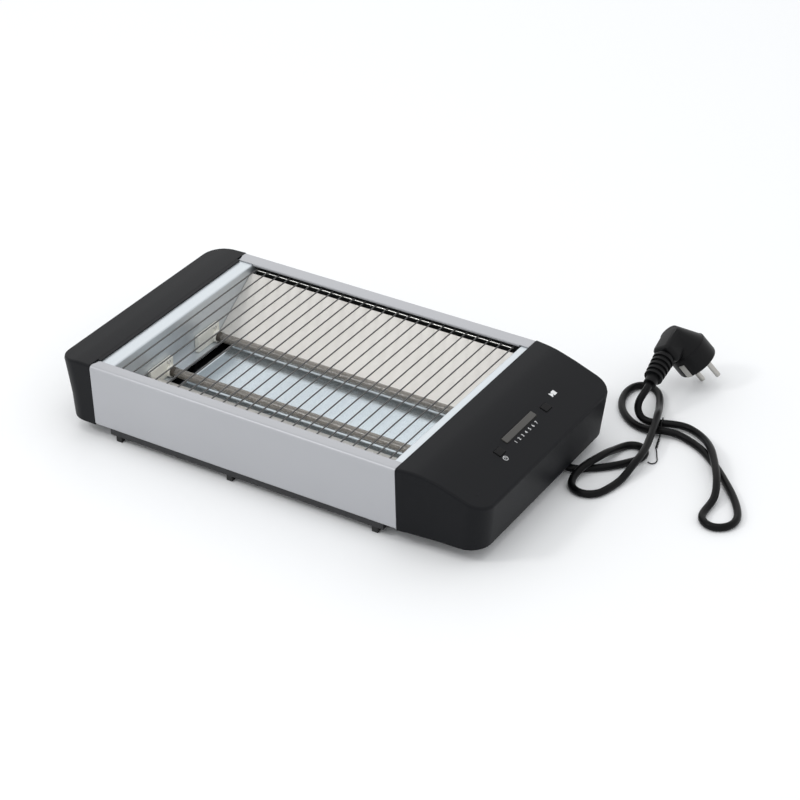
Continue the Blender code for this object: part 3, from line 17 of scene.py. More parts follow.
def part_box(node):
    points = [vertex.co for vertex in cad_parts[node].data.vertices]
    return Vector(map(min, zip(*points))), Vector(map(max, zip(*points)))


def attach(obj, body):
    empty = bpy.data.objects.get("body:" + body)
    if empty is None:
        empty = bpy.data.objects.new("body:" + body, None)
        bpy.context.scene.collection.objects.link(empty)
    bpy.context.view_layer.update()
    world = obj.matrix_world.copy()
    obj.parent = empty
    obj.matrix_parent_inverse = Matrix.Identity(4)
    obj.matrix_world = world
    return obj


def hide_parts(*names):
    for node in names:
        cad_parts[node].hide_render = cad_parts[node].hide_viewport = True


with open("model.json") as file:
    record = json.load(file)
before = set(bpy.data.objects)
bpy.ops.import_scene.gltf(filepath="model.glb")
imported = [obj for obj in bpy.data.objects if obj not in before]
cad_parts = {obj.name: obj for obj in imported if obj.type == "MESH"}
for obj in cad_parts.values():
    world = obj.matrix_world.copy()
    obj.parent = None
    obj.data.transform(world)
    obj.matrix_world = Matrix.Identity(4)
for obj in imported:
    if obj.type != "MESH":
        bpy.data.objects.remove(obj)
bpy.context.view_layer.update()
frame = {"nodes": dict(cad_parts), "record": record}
node_body = {node: body for body, nodes in frame["record"]["behaviour"]["bodies"].items() for node in nodes}

# %% [markdown]
# ## Camera first
# The camera stands at the front right, about two metres away and well above the table. A wide
# lens close by would make the near corner look huge. A long lens from further off keeps the
# long edges nearly parallel, and that is how a toaster is seen on a product picture.

# %% Camera
camera_place = (0.9558, -1.46635, 1.1288)
camera_aim = Vector((0.0541, 0.01605, 0.0417))
bpy.ops.object.camera_add(location=camera_place)
camera = bpy.context.object
camera.rotation_euler = (camera_aim - camera.location).to_track_quat("-Z", "Y").to_euler()
camera.data.lens = 107.78
camera.data.sensor_width = 36.0
camera.data.clip_start = 0.05
bpy.context.scene.camera = camera
print("camera", [round(c, 3) for c in camera.location])

# %% [markdown]
# ## One grain for every finish
# A real surface is never one flat colour. Paint, plate, plastic and rubber all have a slight
# change of colour, a slight change of gloss and a fine relief. These could be wired up again
# in each material. A node group holds them once, and each material places it with its own
# values. Object coordinates keep the grain at its real size, because every piece has its
# place in its mesh.

# %% Grain group
grain_group = bpy.data.node_groups.new("fine_grain", "ShaderNodeTree")
for label, kind in (("Dark", "Color"), ("Light", "Color"), ("Grain", "Float"), ("Smoothest", "Float"),
                    ("Roughest", "Float"), ("Relief", "Float")):
    grain_group.interface.new_socket(name=label, in_out="INPUT", socket_type="NodeSocket" + kind)
for label, kind in (("Colour", "Color"), ("Roughness", "Float"), ("Normal", "Vector")):
    grain_group.interface.new_socket(name=label, in_out="OUTPUT", socket_type="NodeSocket" + kind)
print("grain group sockets", len(grain_group.interface.items_tree))

# %% [markdown]
# Two noises do the work inside the group. The broad one, with patches of several centimetres,
# mixes the dark and the light tone. The fine one changes the roughness and lifts the surface
# by a fraction of a millimetre through a Bump node.

# %% Inside the grain group
inside, wires = grain_group.nodes, grain_group.links
given = inside.new("NodeGroupInput")
result = inside.new("NodeGroupOutput")
place = inside.new("ShaderNodeTexCoord")
broad = inside.new("ShaderNodeTexNoise")
broad.inputs["Scale"].default_value = 14.0
broad.inputs["Detail"].default_value = 2.0
fine = inside.new("ShaderNodeTexNoise")
fine.inputs["Detail"].default_value = 3.0
tint = inside.new("ShaderNodeMixRGB")
polish = inside.new("ShaderNodeMapRange")
relief = inside.new("ShaderNodeBump")
relief.inputs["Distance"].default_value = 0.0004
for start, end in (
        (place.outputs["Object"], broad.inputs["Vector"]), (place.outputs["Object"], fine.inputs["Vector"]),
        (given.outputs["Grain"], fine.inputs["Scale"]), (broad.outputs["Fac"], tint.inputs["Fac"]),
        (given.outputs["Dark"], tint.inputs["Color1"]), (given.outputs["Light"], tint.inputs["Color2"]),
        (given.outputs["Smoothest"], polish.inputs["To Min"]),
        (given.outputs["Roughest"], polish.inputs["To Max"]),
        (given.outputs["Relief"], relief.inputs["Strength"]), (fine.outputs["Fac"], polish.inputs["Value"]),
        (fine.outputs["Fac"], relief.inputs["Height"]), (tint.outputs["Color"], result.inputs["Colour"]),
        (polish.outputs["Result"], result.inputs["Roughness"]),
        (relief.outputs["Normal"], result.inputs["Normal"])):
    wires.new(start, end)
print("grain group nodes", len(inside), "links", len(wires))

# %% [markdown]
# A finish is a material with a Principled shader and one grain group in front of it. The colour
# drifts up and down by the same share, and the roughness by the same step, so a finish is told
# by its middle values and stays easy to change.

# %% A finish with grain
roughness_step = 0.06
least_roughness = 0.02


def shader_of(material):
    return material.node_tree.nodes["Principled BSDF"]


def new_finish(name, colour, roughness, grain, bump, drift, metallic=0.0):
    material = bpy.data.materials.new(name)
    material.use_nodes = True
    shader = shader_of(material)
    shader.inputs["Metallic"].default_value = metallic
    texture = material.node_tree.nodes.new("ShaderNodeGroup")
    texture.node_tree = grain_group
    texture.inputs["Dark"].default_value = (*[c * (1 - drift) for c in colour], 1.0)
    texture.inputs["Light"].default_value = (*[min(c * (1 + drift), 1.0) for c in colour], 1.0)
    texture.inputs["Grain"].default_value = grain
    texture.inputs["Smoothest"].default_value = max(roughness - roughness_step, least_roughness)
    texture.inputs["Roughest"].default_value = min(roughness + roughness_step, 1.0)
    texture.inputs["Relief"].default_value = bump
    links = material.node_tree.links
    links.new(texture.outputs["Colour"], shader.inputs["Base Color"])
    links.new(texture.outputs["Roughness"], shader.inputs["Roughness"])
    links.new(texture.outputs["Normal"], shader.inputs["Normal"])
    return material


print("a finish turns", roughness_step, "in roughness to each side")

# %% [markdown]
# ## Paint and metal
# - The panels are steel with a satin light grey paint, which has a thin coat over it.
# - The chamber's ends and tray rails are zinc-plated sheet with a cool tone, and the wire rails are near
#   black, as painted shade for the dark gaps beside the flanges.
# - The reflectors are a warmer, duller sheet with a clear grain, and the crumb tray is brighter.
# - The wires are darkened by heat, and the coils are dull grey-brown resistance wire.
#
# Each is a metal or part metal, so most of what it shows is the bright room around it.

# %% Paint and metal finishes
grey_paint = new_finish("grey_paint", (0.42, 0.425, 0.445), 0.36, 2200.0, 0.03, 0.03, metallic=0.2)
shader_of(grey_paint).inputs["Coat Weight"].default_value = 0.25
shader_of(grey_paint).inputs["Coat Roughness"].default_value = 0.25
zinc = new_finish("zinc_plate", (0.62, 0.66, 0.69), 0.36, 600.0, 0.03, 0.05, metallic=0.45)
# painted shade: the wire rails are coloured near black to stand for the dark gaps beside the flanges
dark_rail_painted_shade = new_finish("dark_rail_painted_shade", (0.030, 0.032, 0.032), 0.5, 900.0, 0.06, 0.2, metallic=0.5)
reflector_sheet = new_finish("reflector_sheet", (0.68, 0.66, 0.63), 0.42, 800.0, 0.9, 0.06, metallic=0.5)
tray_sheet = new_finish("tray_sheet", (0.52, 0.58, 0.62), 0.20, 240.0, 0.03, 0.12, metallic=0.85)
wire_steel = new_finish("wire_steel", (0.10, 0.10, 0.10), 0.34, 1800.0, 0.05, 0.15, metallic=0.8)
bright_metal = new_finish("bright_metal", (0.72, 0.72, 0.70), 0.24, 1200.0, 0.03, 0.06, metallic=0.95)
coil_wire = new_finish("coil_wire", (0.16, 0.14, 0.12), 0.5, 1200.0, 0.05, 0.2, metallic=0.8)
# the pins are plated metal, made darker than its bare tone as painted shade for where they lie beside the
# plug
pin_metal = new_finish("pin_metal", (0.42, 0.41, 0.39), 0.30, 1500.0, 0.03, 0.06, metallic=0.9)
print(len(bpy.data.materials), "finishes so far")

# %% [markdown]
# ## Black plastic and rubber
# The moulded ends are black plastic with a very fine texture, and the cord and plug are black
# rubber. Black pieces in a white room pick up its light as a grey veil. Making the colour
# darker can't remove that veil, because it lies in the reflection, so the specular level is
# lowered as well.

# %% Black finishes
black_plastic = new_finish("black_plastic", (0.0055, 0.0060, 0.0075), 0.46, 3200.0, 0.08, 0.10)
button_plastic = new_finish("button_plastic", (0.0035, 0.0035, 0.0040), 0.38, 2600.0, 0.05, 0.10)
black_paint = new_finish("black_paint", (0.012, 0.012, 0.014), 0.45, 1800.0, 0.06, 0.10)
foot_rubber = new_finish("foot_rubber", (0.010, 0.010, 0.010), 0.7, 1800.0, 0.12, 0.10)
cord_rubber = new_finish("cord_rubber", (0.0032, 0.0032, 0.0036), 0.34, 1600.0, 0.06, 0.15)
plug_rubber = new_finish("plug_rubber", (0.0036, 0.0038, 0.0044), 0.40, 1900.0, 0.08, 0.12)
for matt, shine in ((black_plastic, 0.13), (button_plastic, 0.15), (cord_rubber, 0.12), (plug_rubber, 0.15)):
    shader_of(matt).inputs["Specular IOR Level"].default_value = shine
print(len(bpy.data.materials), "finishes so far")

# %% [markdown]
# ## Ceramic, glass, print and the hidden parts
# The holders are raw white ceramic, and the glass beside them is burnt dark. The tube is
# frosted quartz: part of the light goes through it, so the coil shows as a soft dark core. A
# clear glass would show the coil sharply, and a plain grey would hide it. The boards and leads
# are inside the housing and get the plain colours that such parts have.

# %% Other finishes
white_ceramic = new_finish("white_ceramic", (0.88, 0.87, 0.80), 0.6, 1400.0, 0.15, 0.05)
burnt_end = new_finish("burnt_end", (0.06, 0.05, 0.04), 0.6, 1400.0, 0.12, 0.2)
smoky_lens = new_finish("smoky_lens", (0.050, 0.047, 0.043), 0.30, 1500.0, 0.03, 0.15)
white_print = new_finish("white_print", (0.78, 0.78, 0.78), 0.5, 2500.0, 0.02, 0.05)
board_green = new_finish("board_green", (0.02, 0.09, 0.035), 0.4, 1500.0, 0.05, 0.15)
case_black = new_finish("case_black", (0.02, 0.02, 0.022), 0.4, 1500.0, 0.05, 0.10)
lead_sheath = new_finish("lead_sheath", (0.50, 0.49, 0.46), 0.6, 1500.0, 0.05, 0.10)
quartz = new_finish("quartz", (0.50, 0.47, 0.43), 0.16, 700.0, 0.03, 0.06)
shader_of(quartz).inputs["Transmission Weight"].default_value = 0.72
shader_of(quartz).inputs["IOR"].default_value = 1.46
print(len(bpy.data.materials), "finishes")

# %% [markdown]
# ## From solids to finished pieces
# The solids have knife-sharp edges and flat facets. A copy of each visible one is merged into
# a clean mesh, gets a hair of Bevel that catches the light, and is shaded smooth where the
# angle is small. The edges could be picked and bevelled by hand, but the Bevel modifier finds
# them by their angle. Weighted Normal then keeps the large faces flat beside the bevels.

# %% Select one object
def deselect_all():
    for item in bpy.context.selected_objects:
        item.select_set(False)


def select_only(item):
    deselect_all()
    item.select_set(True)
    bpy.context.view_layer.objects.active = item


deselect_all()
print("selected", len(bpy.context.selected_objects))

# %% [markdown]
# The copy rides on the body of its solid and stands in for it. A piece that nobody sees from
# outside needs no copy: its own solid is painted instead.

# %% Copy a solid and finish it
merge_distance = 0.000005
flat_angle = math.radians(0.6)


def finish_copy(node, material, bevel, segments=2, angle=40.0):
    mesh = frame["nodes"][node].data.copy()
    mesh.materials.clear()
    mesh.materials.append(material)
    piece = bpy.data.objects.new(node + "_finished", mesh)
    bpy.context.scene.collection.objects.link(piece)
    select_only(piece)
    bpy.ops.object.mode_set(mode="EDIT")
    bpy.ops.mesh.select_all(action="SELECT")
    bpy.ops.mesh.remove_doubles(threshold=merge_distance)
    bpy.ops.mesh.dissolve_limited(angle_limit=flat_angle)
    bpy.ops.object.mode_set(mode="OBJECT")
    if bevel:
        rounding = piece.modifiers.new("edge", "BEVEL")
        rounding.width = bevel
        rounding.segments = segments
        rounding.limit_method = "ANGLE"
        rounding.angle_limit = math.radians(angle)
        rounding.use_clamp_overlap = True
        bpy.ops.object.modifier_apply(modifier="edge")
    bpy.ops.object.shade_smooth_by_angle(angle=math.radians(angle))
    evening = piece.modifiers.new("even", "WEIGHTED_NORMAL")
    evening.keep_sharp = True
    bpy.ops.object.modifier_apply(modifier="even")
    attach(piece, node_body[node])
    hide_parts(node)
    return piece


def paint(node, material):
    for slot in frame["nodes"][node].material_slots:
        slot.material = material


print("merge at", merge_distance, "m")

# %% [markdown]
# ## Casing and end housings
# The casing is bent sheet, whose edges are nearly sharp, and the two ends are moulded plastic
# with softer ones. So the sheet gets 0.1 or 0.2 mm of bevel and the mouldings 0.3 mm with one
# more segment.

# %% Casing and housings
for node in ("front_panel", "rear_panel"):
    finish_copy(node, grey_paint, 0.0002)
for node in ("left_end_frame", "right_end_frame"):
    finish_copy(node, zinc, 0.00012)
# the wire rails take the near-black finish that paints the shade of the gaps beside the flanges
for node in ("front_wire_rail", "rear_wire_rail"):
    finish_copy(node, dark_rail_painted_shade, 0.0001)
for node in ("left_end_cap", "control_housing"):
    finish_copy(node, black_plastic, 0.0003, 3, 38.0)
for node in ("left_bottom_cover", "housing_bottom_cover", "cord_gland"):
    finish_copy(node, black_plastic, 0.0002)
finish_copy("base_plate", black_paint, 0.0002)
for side in ("front", "rear"):
    for foot in ("left", "middle", "right"):
        finish_copy(f"foot_{side}_{foot}", foot_rubber, 0.0002)
print("casing done")

# %% [markdown]
# ## Chamber
# Two inclined reflectors send the heat up to the bread, and the crumb tray between them is the
# chamber's floor. The wires are round already, so they need no bevel, only smooth shading.

# %% Chamber
for node in ("front_reflector", "rear_reflector"):
    finish_copy(node, reflector_sheet, 0.0001)
for node in ("left_tray_rail", "right_tray_rail"):
    finish_copy(node, zinc, 0.0001)
finish_copy("crumb_tray", tray_sheet, 0.00012)
finish_copy("grid_wires", wire_steel, 0.0, angle=60.0)
print("chamber done")

# %% [markdown]
# A thin rod lies under the wires near the back and holds them at one pitch. A curve could make
# it, but a cylinder turned on its side is all that a straight rod needs. It sinks a hair into
# the wires, as a welded rod does.

# %% Rod under the wires
quarter_turn = math.radians(90)
across = (0, quarter_turn, 0)


def settle(piece, name, material):
    """Names a new piece, gives it its finish and lets it ride on the housing."""
    piece.name = name
    piece.data.materials.clear()
    piece.data.materials.append(material)
    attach(piece, "housing")


rod_radius, rod_y, rod_z, rod_end_gap = 0.00045, 0.1014, 0.06895, 0.0002
wires_low, wires_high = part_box("grid_wires")
deselect_all()
bpy.ops.mesh.primitive_cylinder_add(
    vertices=20, radius=rod_radius, depth=wires_high[0] - wires_low[0] - rod_end_gap,
    location=((wires_low[0] + wires_high[0]) / 2, rod_y, rod_z), rotation=across)
rod = bpy.context.object
bpy.ops.object.transform_apply(location=True, rotation=True, scale=True)
bpy.ops.object.shade_smooth_by_angle(angle=math.radians(50))
settle(rod, "grid_rod", bright_metal)
print("rod", round(wires_high[0] - wires_low[0], 4))

# %% [markdown]
# ## Controls, screws and hidden pieces
# The light bar and the two buttons show on the sloped face, and the screws underneath. The
# boards, switches and leads stay inside, so they are only painted.

# %% Controls, screws and hidden pieces
finish_copy("level_window", smoky_lens, 0.0001)
for node in ("timer_button", "start_button"):
    finish_copy(node, button_plastic, 0.00015)
for node in ("left_screw_front", "left_screw_rear", "housing_screw_front", "housing_screw_rear"):
    finish_copy(node, bright_metal, 0.0001)
for node in ("relay", "timer_switch", "start_switch"):
    paint(node, case_black)
for node in ("terminal_block", "level_lights"):
    paint(node, white_ceramic)
for node in ("control_board", "power_board"):
    paint(node, board_green)
for node in ("heater_link_lead", "front_supply_lead", "rear_supply_lead"):
    paint(node, lead_sheath)
paint("thermal_fuse", bright_metal)
print("solids finished")

# %% [markdown]
# ## Heaters
# Each heater is a frosted quartz tube round a fine coil of resistance wire. The coil is a
# spiral, so its points come from a sine and a cosine, and a curve with a round bevel makes
# the wire. A Screw modifier could do it too, but a curve keeps the wire's thickness exact.

# %% A wire along points
def bend_wire(name, points, radius, resolution, material):
    curve = bpy.data.curves.new(name, "CURVE")
    curve.dimensions = "3D"
    curve.bevel_depth = radius
    curve.bevel_resolution = resolution
    curve.use_fill_caps = True
    spline = curve.splines.new("POLY")
    spline.points.add(len(points) - 1)
    for point, where in zip(spline.points, points):
        point.co = (*where, 1.0)
    spline.use_smooth = True
    curve.materials.append(material)
    wire = bpy.data.objects.new(name, curve)
    bpy.context.scene.collection.objects.link(wire)
    return wire


def wind_coil(node, wire=0.0005, pitch=0.0022, points_per_turn=12):
    low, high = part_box(node)
    radius = (high[2] - low[2]) / 2 - wire / 2
    middle_y, middle_z = (low[1] + high[1]) / 2, (low[2] + high[2]) / 2
    length = high[0] - low[0] - wire
    count = int(length / pitch * points_per_turn)
    points = []
    for index in range(count + 1):
        angle = math.tau * index / points_per_turn
        x = low[0] + wire / 2 + length * index / count
        points.append((x, middle_y + radius * math.cos(angle), middle_z + radius * math.sin(angle)))
    winding = bend_wire(node + "_winding", points, wire / 2, 1, coil_wire)
    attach(winding, node_body[node])
    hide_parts(node)
    print(node, "turns", round(count / points_per_turn))


# %% [markdown]
# The tube's own solid is a true pipe, so a finished copy of it is enough. Its holders are
# ceramic blocks with well rounded edges.

# %% Coils, tubes and holders
for side in ("front", "rear"):
    wind_coil(side + "_heating_coil")
    finish_copy(side + "_heater_tube", quartz, 0.0002, angle=50.0)
    for end in ("left", "right"):
        finish_copy(f"heater_holder_{side}_{end}", white_ceramic, 0.0008, 3)
        finish_copy(f"heater_terminal_{side}_{end}", bright_metal, 0.0001)
print("tubes and holders done")

# %% [markdown]
# A ceramic bush stands round each tube where it enters its holder, and the glass is burnt
# dark beside it. Both are short sleeves: a cylinder whose two end faces are inset and then
# bridged, which opens the bore. A Boolean could cut it, but the bridge keeps a clean mesh.

# %% Sleeve
def add_sleeve(name, centre, radius, bore, length, material, bevel):
    deselect_all()
    bpy.ops.mesh.primitive_cylinder_add(vertices=40, radius=radius, depth=length, location=centre,
                                        rotation=across)
    sleeve = bpy.context.object
    bpy.ops.object.transform_apply(location=True, rotation=True, scale=True)
    bpy.ops.object.mode_set(mode="EDIT")
    bpy.ops.mesh.select_all(action="DESELECT")
    mesh = bmesh.from_edit_mesh(sleeve.data)
    for face in mesh.faces:
        face.select = abs(face.normal.x) > 0.9
    bmesh.update_edit_mesh(sleeve.data)
    bpy.ops.mesh.inset(thickness=radius - bore)
    bpy.ops.mesh.bridge_edge_loops()
    bpy.ops.mesh.select_all(action="SELECT")
    bpy.ops.mesh.normals_make_consistent(inside=False)
    bpy.ops.object.mode_set(mode="OBJECT")
    rounding = sleeve.modifiers.new("edge", "BEVEL")
    rounding.width = bevel
    rounding.segments = 3
    bpy.ops.object.modifier_apply(modifier="edge")
    bpy.ops.object.shade_smooth_by_angle(angle=math.radians(40))
    settle(sleeve, name, material)


# %% [markdown]
# A rivet above each bush holds the ceramic to the wall. Only its rolled ring shows, and a
# torus turned to the wall is that ring.

# %% Bushes, burnt ends and rivets
def add_rivet(name, centre):
    deselect_all()
    bpy.ops.mesh.primitive_torus_add(major_radius=0.0016, minor_radius=0.0005, major_segments=32,
                                     minor_segments=10, location=centre, rotation=across)
    ring = bpy.context.object
    bpy.ops.object.transform_apply(location=True, rotation=True, scale=True)
    bpy.ops.object.shade_smooth()
    settle(ring, name, bright_metal)


bush_length, bush_wall, bush_bore_gap, bush_edge = 0.0036, 0.0013, 0.0002, 0.0003
burnt_length, burnt_wall, burnt_bore_gap, burnt_edge = 0.004, 0.0002, 0.00005, 0.00002
face_gap, rivet_gap, rivet_rise = 0.0002, 0.0003, 0.0084
for side in ("front", "rear"):
    tube_low, tube_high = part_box(side + "_heater_tube")
    tube_radius = (tube_high[2] - tube_low[2]) / 2
    y, z = (tube_low[1] + tube_high[1]) / 2, (tube_low[2] + tube_high[2]) / 2
    for end, outward in (("left", 1), ("right", -1)):
        low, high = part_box(f"heater_holder_{side}_{end}")
        face = high[0] if outward > 0 else low[0]
        start = face + outward * face_gap
        bush_middle = (start + outward * bush_length / 2, y, z)
        add_sleeve(f"tube_bush_{side}_{end}", bush_middle, tube_radius + bush_wall,
                   tube_radius + bush_bore_gap, bush_length, white_ceramic, bush_edge)
        burnt_middle = (start + outward * (bush_length + burnt_length / 2), y, z)
        add_sleeve(f"burnt_end_{side}_{end}", burnt_middle, tube_radius + burnt_wall,
                   tube_radius + burnt_bore_gap, burnt_length, burnt_end, burnt_edge)
        add_rivet(f"holder_rivet_{side}_{end}", (face + outward * rivet_gap, y, z + rivet_rise))
print("heaters done")

# %% [markdown]
# ## Print on the sloped face
# The numbers 1 to 7 stand beside the light bar, and each button has a plain sign: a clock for
# the timer, a triangle and a square for start and stop. Print has almost no thickness. It
# could be a picture on the plastic, but a flat shape with 0.03 mm of Solidify, laid just above
# the roof, stays sharp from close by.

# %% The sloped face
roof_start, roof_reach, slope_share = 0.131, 0.079, 0.513
roof_height, roof_drop, drop_share = 0.0739, 0.0196, 0.311
ink_thickness = 0.00003
slope_start = Vector((roof_start + roof_reach * slope_share, 0.0, roof_height - roof_drop * drop_share))
slope_angle = math.atan2(roof_drop * (1 - drop_share), roof_reach * (1 - slope_share))


def on_slope(along, y):
    """Print place: X of the sign points to the back, its top points up the slope."""
    turn = Matrix.Rotation(slope_angle, 4, "Y")
    corner = Matrix.Translation(slope_start + Vector((0, y, 0))) @ turn
    return corner @ Matrix.Translation((along, 0, ink_thickness)) @ Matrix.Rotation(quarter_turn, 4, "Z")


def lay_print(sign, where, name, material=white_print):
    select_only(sign)
    sign.matrix_world = where @ sign.matrix_world
    bpy.ops.object.transform_apply(location=True, rotation=True, scale=True)
    thick = sign.modifiers.new("ink", "SOLIDIFY")
    thick.thickness = ink_thickness
    thick.offset = 1.0
    bpy.ops.object.modifier_apply(modifier="ink")
    settle(sign, name, material)


print("slope", round(math.degrees(slope_angle), 1), "degrees")

# %% [markdown]
# The numbers are real text, so their shapes come with the font. Each is made a mesh before it
# is laid in its place, because a mesh keeps that place in its own points.

# %% Numbers
front_edge = -0.11825
number_count, number_pitch, number_size, number_along = 7, 0.00575, 0.0042, 0.0153
first_number = front_edge + 0.0998
for index in range(number_count):
    deselect_all()
    bpy.ops.object.text_add()
    number = bpy.context.object
    number.data.body = str(index + 1)
    number.data.size = number_size
    number.data.align_x = "CENTER"
    number.data.align_y = "CENTER"
    number.data.offset = 0.00006
    bpy.ops.object.convert(target="MESH")
    number = bpy.context.object
    lay_print(number, on_slope(number_along, first_number + index * number_pitch), f"number_{index + 1}")
print("numbers", number_count)

# %% [markdown]
# The signs are simpler than letters: a ring is a circle whose inset middle is removed, and a
# bar is a plane with its two sides given. A circle of three points is the triangle.

# %% Sign shapes
def flat_ring(radius, width):
    deselect_all()
    bpy.ops.mesh.primitive_circle_add(vertices=40, radius=radius, fill_type="NGON")
    ring = bpy.context.object
    bpy.ops.object.mode_set(mode="EDIT")
    bpy.ops.mesh.select_all(action="SELECT")
    bpy.ops.mesh.inset(thickness=width)
    bpy.ops.mesh.delete(type="FACE")
    bpy.ops.object.mode_set(mode="OBJECT")
    return ring


def flat_bar(x0, y0, x1, y1):
    deselect_all()
    bpy.ops.mesh.primitive_plane_add(size=1.0, location=((x0 + x1) / 2, (y0 + y1) / 2, 0))
    bar = bpy.context.object
    bar.scale = (x1 - x0, y1 - y0, 1.0)
    bpy.ops.object.transform_apply(location=True, rotation=True, scale=True)
    return bar


def flat_triangle(radius, x):
    deselect_all()
    bpy.ops.mesh.primitive_circle_add(vertices=3, radius=radius, fill_type="NGON",
                                      rotation=(0, 0, -quarter_turn))
    bpy.ops.object.transform_apply(location=True, rotation=True, scale=True)
    triangle = bpy.context.object
    triangle.location = (x, 0.0, 0.0)
    return triangle


# %% [markdown]
# Each sign stands beside its own button, and a thin black strip along the light bar is painted shadow where
# the raised bar shades its side.

# %% Signs
timer_y = front_edge + 0.0782
start_y = front_edge + 0.157
hand = 0.00022
clock = on_slope(0.0190, timer_y - 0.0022)
lay_print(flat_ring(0.0024, 0.00045), clock, "timer_sign_ring")
lay_print(flat_bar(-hand, -hand, hand, 0.0015), clock, "timer_sign_hand")
lay_print(flat_bar(hand, -hand, 0.0012, hand), clock, "timer_sign_short_hand")
signs = on_slope(0.0070, start_y + 0.0180)
lay_print(flat_triangle(0.0031, -0.0048), signs, "start_sign")
lay_print(flat_bar(0.0018, -0.0023, 0.0062, 0.0023), signs, "stop_sign")
# painted shadow: a thin black strip of print along the light bar's side, in the buttons' plastic
shadow_strip_half, shadow_strip_width = 0.0246, 0.0012
shadow_strip_shape = flat_bar(-shadow_strip_half, -shadow_strip_width / 2, shadow_strip_half, shadow_strip_width / 2)
lay_print(shadow_strip_shape, on_slope(0.01145, -0.00125), "bar_painted_shadow", button_plastic)
print("signs done")

# %% [markdown]
# ## The cord
# The cord is one length of round flexible sheath, tied beside the toaster. It leaves the
# gland, folds, passes over itself and ends in the plug. The points were listed one by one,
# because a cord that someone has tied follows no formula, and a smooth curve runs through
# them.

# %% Route
cord_route = (
    (0.1785, 0.0480, 0.0076), (0.1851, 0.0480, 0.0076), (0.2025, 0.0505, 0.0040),
    (0.2135, 0.0568, 0.0034), (0.2235, 0.0648, 0.0034), (0.2335, 0.0753, 0.0034),
    (0.2402, 0.0842, 0.0034), (0.2452, 0.0925, 0.0034), (0.2464, 0.1020, 0.0034),
    (0.2408, 0.1100, 0.0034), (0.2314, 0.1102, 0.0034), (0.2250, 0.1030, 0.0036),
    (0.2226, 0.0920, 0.0058), (0.2215, 0.0798, 0.0094), (0.2190, 0.0658, 0.0109),
    (0.2150, 0.0523, 0.0101), (0.2120, 0.0383, 0.0061), (0.2160, 0.0268, 0.0036),
    (0.2275, 0.0223, 0.0034), (0.2385, 0.0283, 0.0034), (0.2440, 0.0418, 0.0034),
    (0.2470, 0.0558, 0.0042), (0.2485, 0.0698, 0.0078), (0.2490, 0.0848, 0.0107),
    (0.2475, 0.0998, 0.0111), (0.2445, 0.1138, 0.0116), (0.2410, 0.1278, 0.0124),
    (0.2370, 0.1418, 0.0127), (0.2325, 0.1548, 0.0115), (0.2275, 0.1678, 0.0067),
    (0.2215, 0.1818, 0.0037), (0.2145, 0.1948, 0.0035), (0.2040, 0.2028, 0.0034),
    (0.1930, 0.2008, 0.0034), (0.1878, 0.1898, 0.0034), (0.1890, 0.1753, 0.0034),
    (0.1943, 0.1618, 0.0034), (0.2035, 0.1503, 0.0034), (0.2155, 0.1418, 0.0034),
    (0.2285, 0.1383, 0.0038), (0.2425, 0.1403, 0.0052), (0.2565, 0.1433, 0.0046),
    (0.2715, 0.1403, 0.0035), (0.2855, 0.1333, 0.0034), (0.2985, 0.1233, 0.0034),
    (0.3110, 0.1118, 0.0034), (0.3235, 0.0988, 0.0034), (0.3360, 0.0848, 0.0034),
    (0.3475, 0.0688, 0.0034), (0.3540, 0.0533, 0.0034), (0.3512, 0.0405, 0.0034),
    (0.3402, 0.0343, 0.0034), (0.3292, 0.0405, 0.0034), (0.3262, 0.0533, 0.0036),
    (0.3262, 0.0683, 0.0054), (0.3220, 0.0828, 0.0088), (0.3150, 0.0973, 0.0108),
    (0.3065, 0.1118, 0.0110), (0.2970, 0.1268, 0.0106), (0.2860, 0.1413, 0.0074),
    (0.2725, 0.1533, 0.0046), (0.2575, 0.1578, 0.0046), (0.2430, 0.1535, 0.0052),
    (0.2310, 0.1500, 0.0046), (0.2208, 0.1489, 0.0062), (0.2155, 0.1500, 0.0135),
    (0.2152, 0.1540, 0.0213),
)
cord_diameter = 0.0066
plug_face, relief_reach = Vector((0.2165, 0.17525, 0.0322)), 0.0083
plug_axis = Vector((-0.053, 0.958, 0.2806)).normalized()
cord_end = plug_face - plug_axis * relief_reach
route = [Vector(p) for p in cord_route] + [cord_end - plug_axis * cord_diameter, cord_end]
print("route points", len(route))

# %% [markdown]
# A cubic spline bends evenly through every point, where straight steps would show corners. Its
# slopes at the points come from one set of linear equations, which numpy solves.

# %% Smooth curve through the route
def smooth_route(points, steps=8):
    """Cubic curve with continuous bends through the points, solved as a spline."""
    points = np.array([tuple(p) for p in points])
    gaps = np.sqrt(np.linalg.norm(np.diff(points, axis=0), axis=1))
    count = len(points)
    matrix, rates = np.zeros((count, count)), np.zeros((count, 3))
    matrix[0, 0] = matrix[-1, -1] = 1.0
    rates[0] = (points[1] - points[0]) / gaps[0]
    rates[-1] = (points[-1] - points[-2]) / gaps[-1]
    for i in range(1, count - 1):
        matrix[i, i - 1:i + 2] = gaps[i], 2 * (gaps[i - 1] + gaps[i]), gaps[i - 1]
        before = (points[i] - points[i - 1]) / gaps[i - 1]
        after = (points[i + 1] - points[i]) / gaps[i]
        rates[i] = 3 * (gaps[i] * before + gaps[i - 1] * after)
    slopes = np.linalg.solve(matrix, rates)
    smooth = []
    for i in range(count - 1):
        for share in np.linspace(0, 1, steps, endpoint=False):
            a, b, c = share * share * (3 - 2 * share), share * share * (share - 1), share * (1 - share) ** 2
            bent = gaps[i] * (slopes[i] * c + slopes[i + 1] * b)
            smooth.append(points[i] * (1 - a) + points[i + 1] * a + bent)
    smooth.append(points[-1])
    return [Vector(p) for p in smooth]


line = smooth_route(route)

# %% [markdown]
# The sheath is the same kind of round wire as the coil, only thicker and with a finer bevel.

# %% Cord
mains_cord = bend_wire("mains_cord", line, cord_diameter / 2, 6, cord_rubber)
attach(mains_cord, "housing")
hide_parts("cord")
print("cord points", len(line))
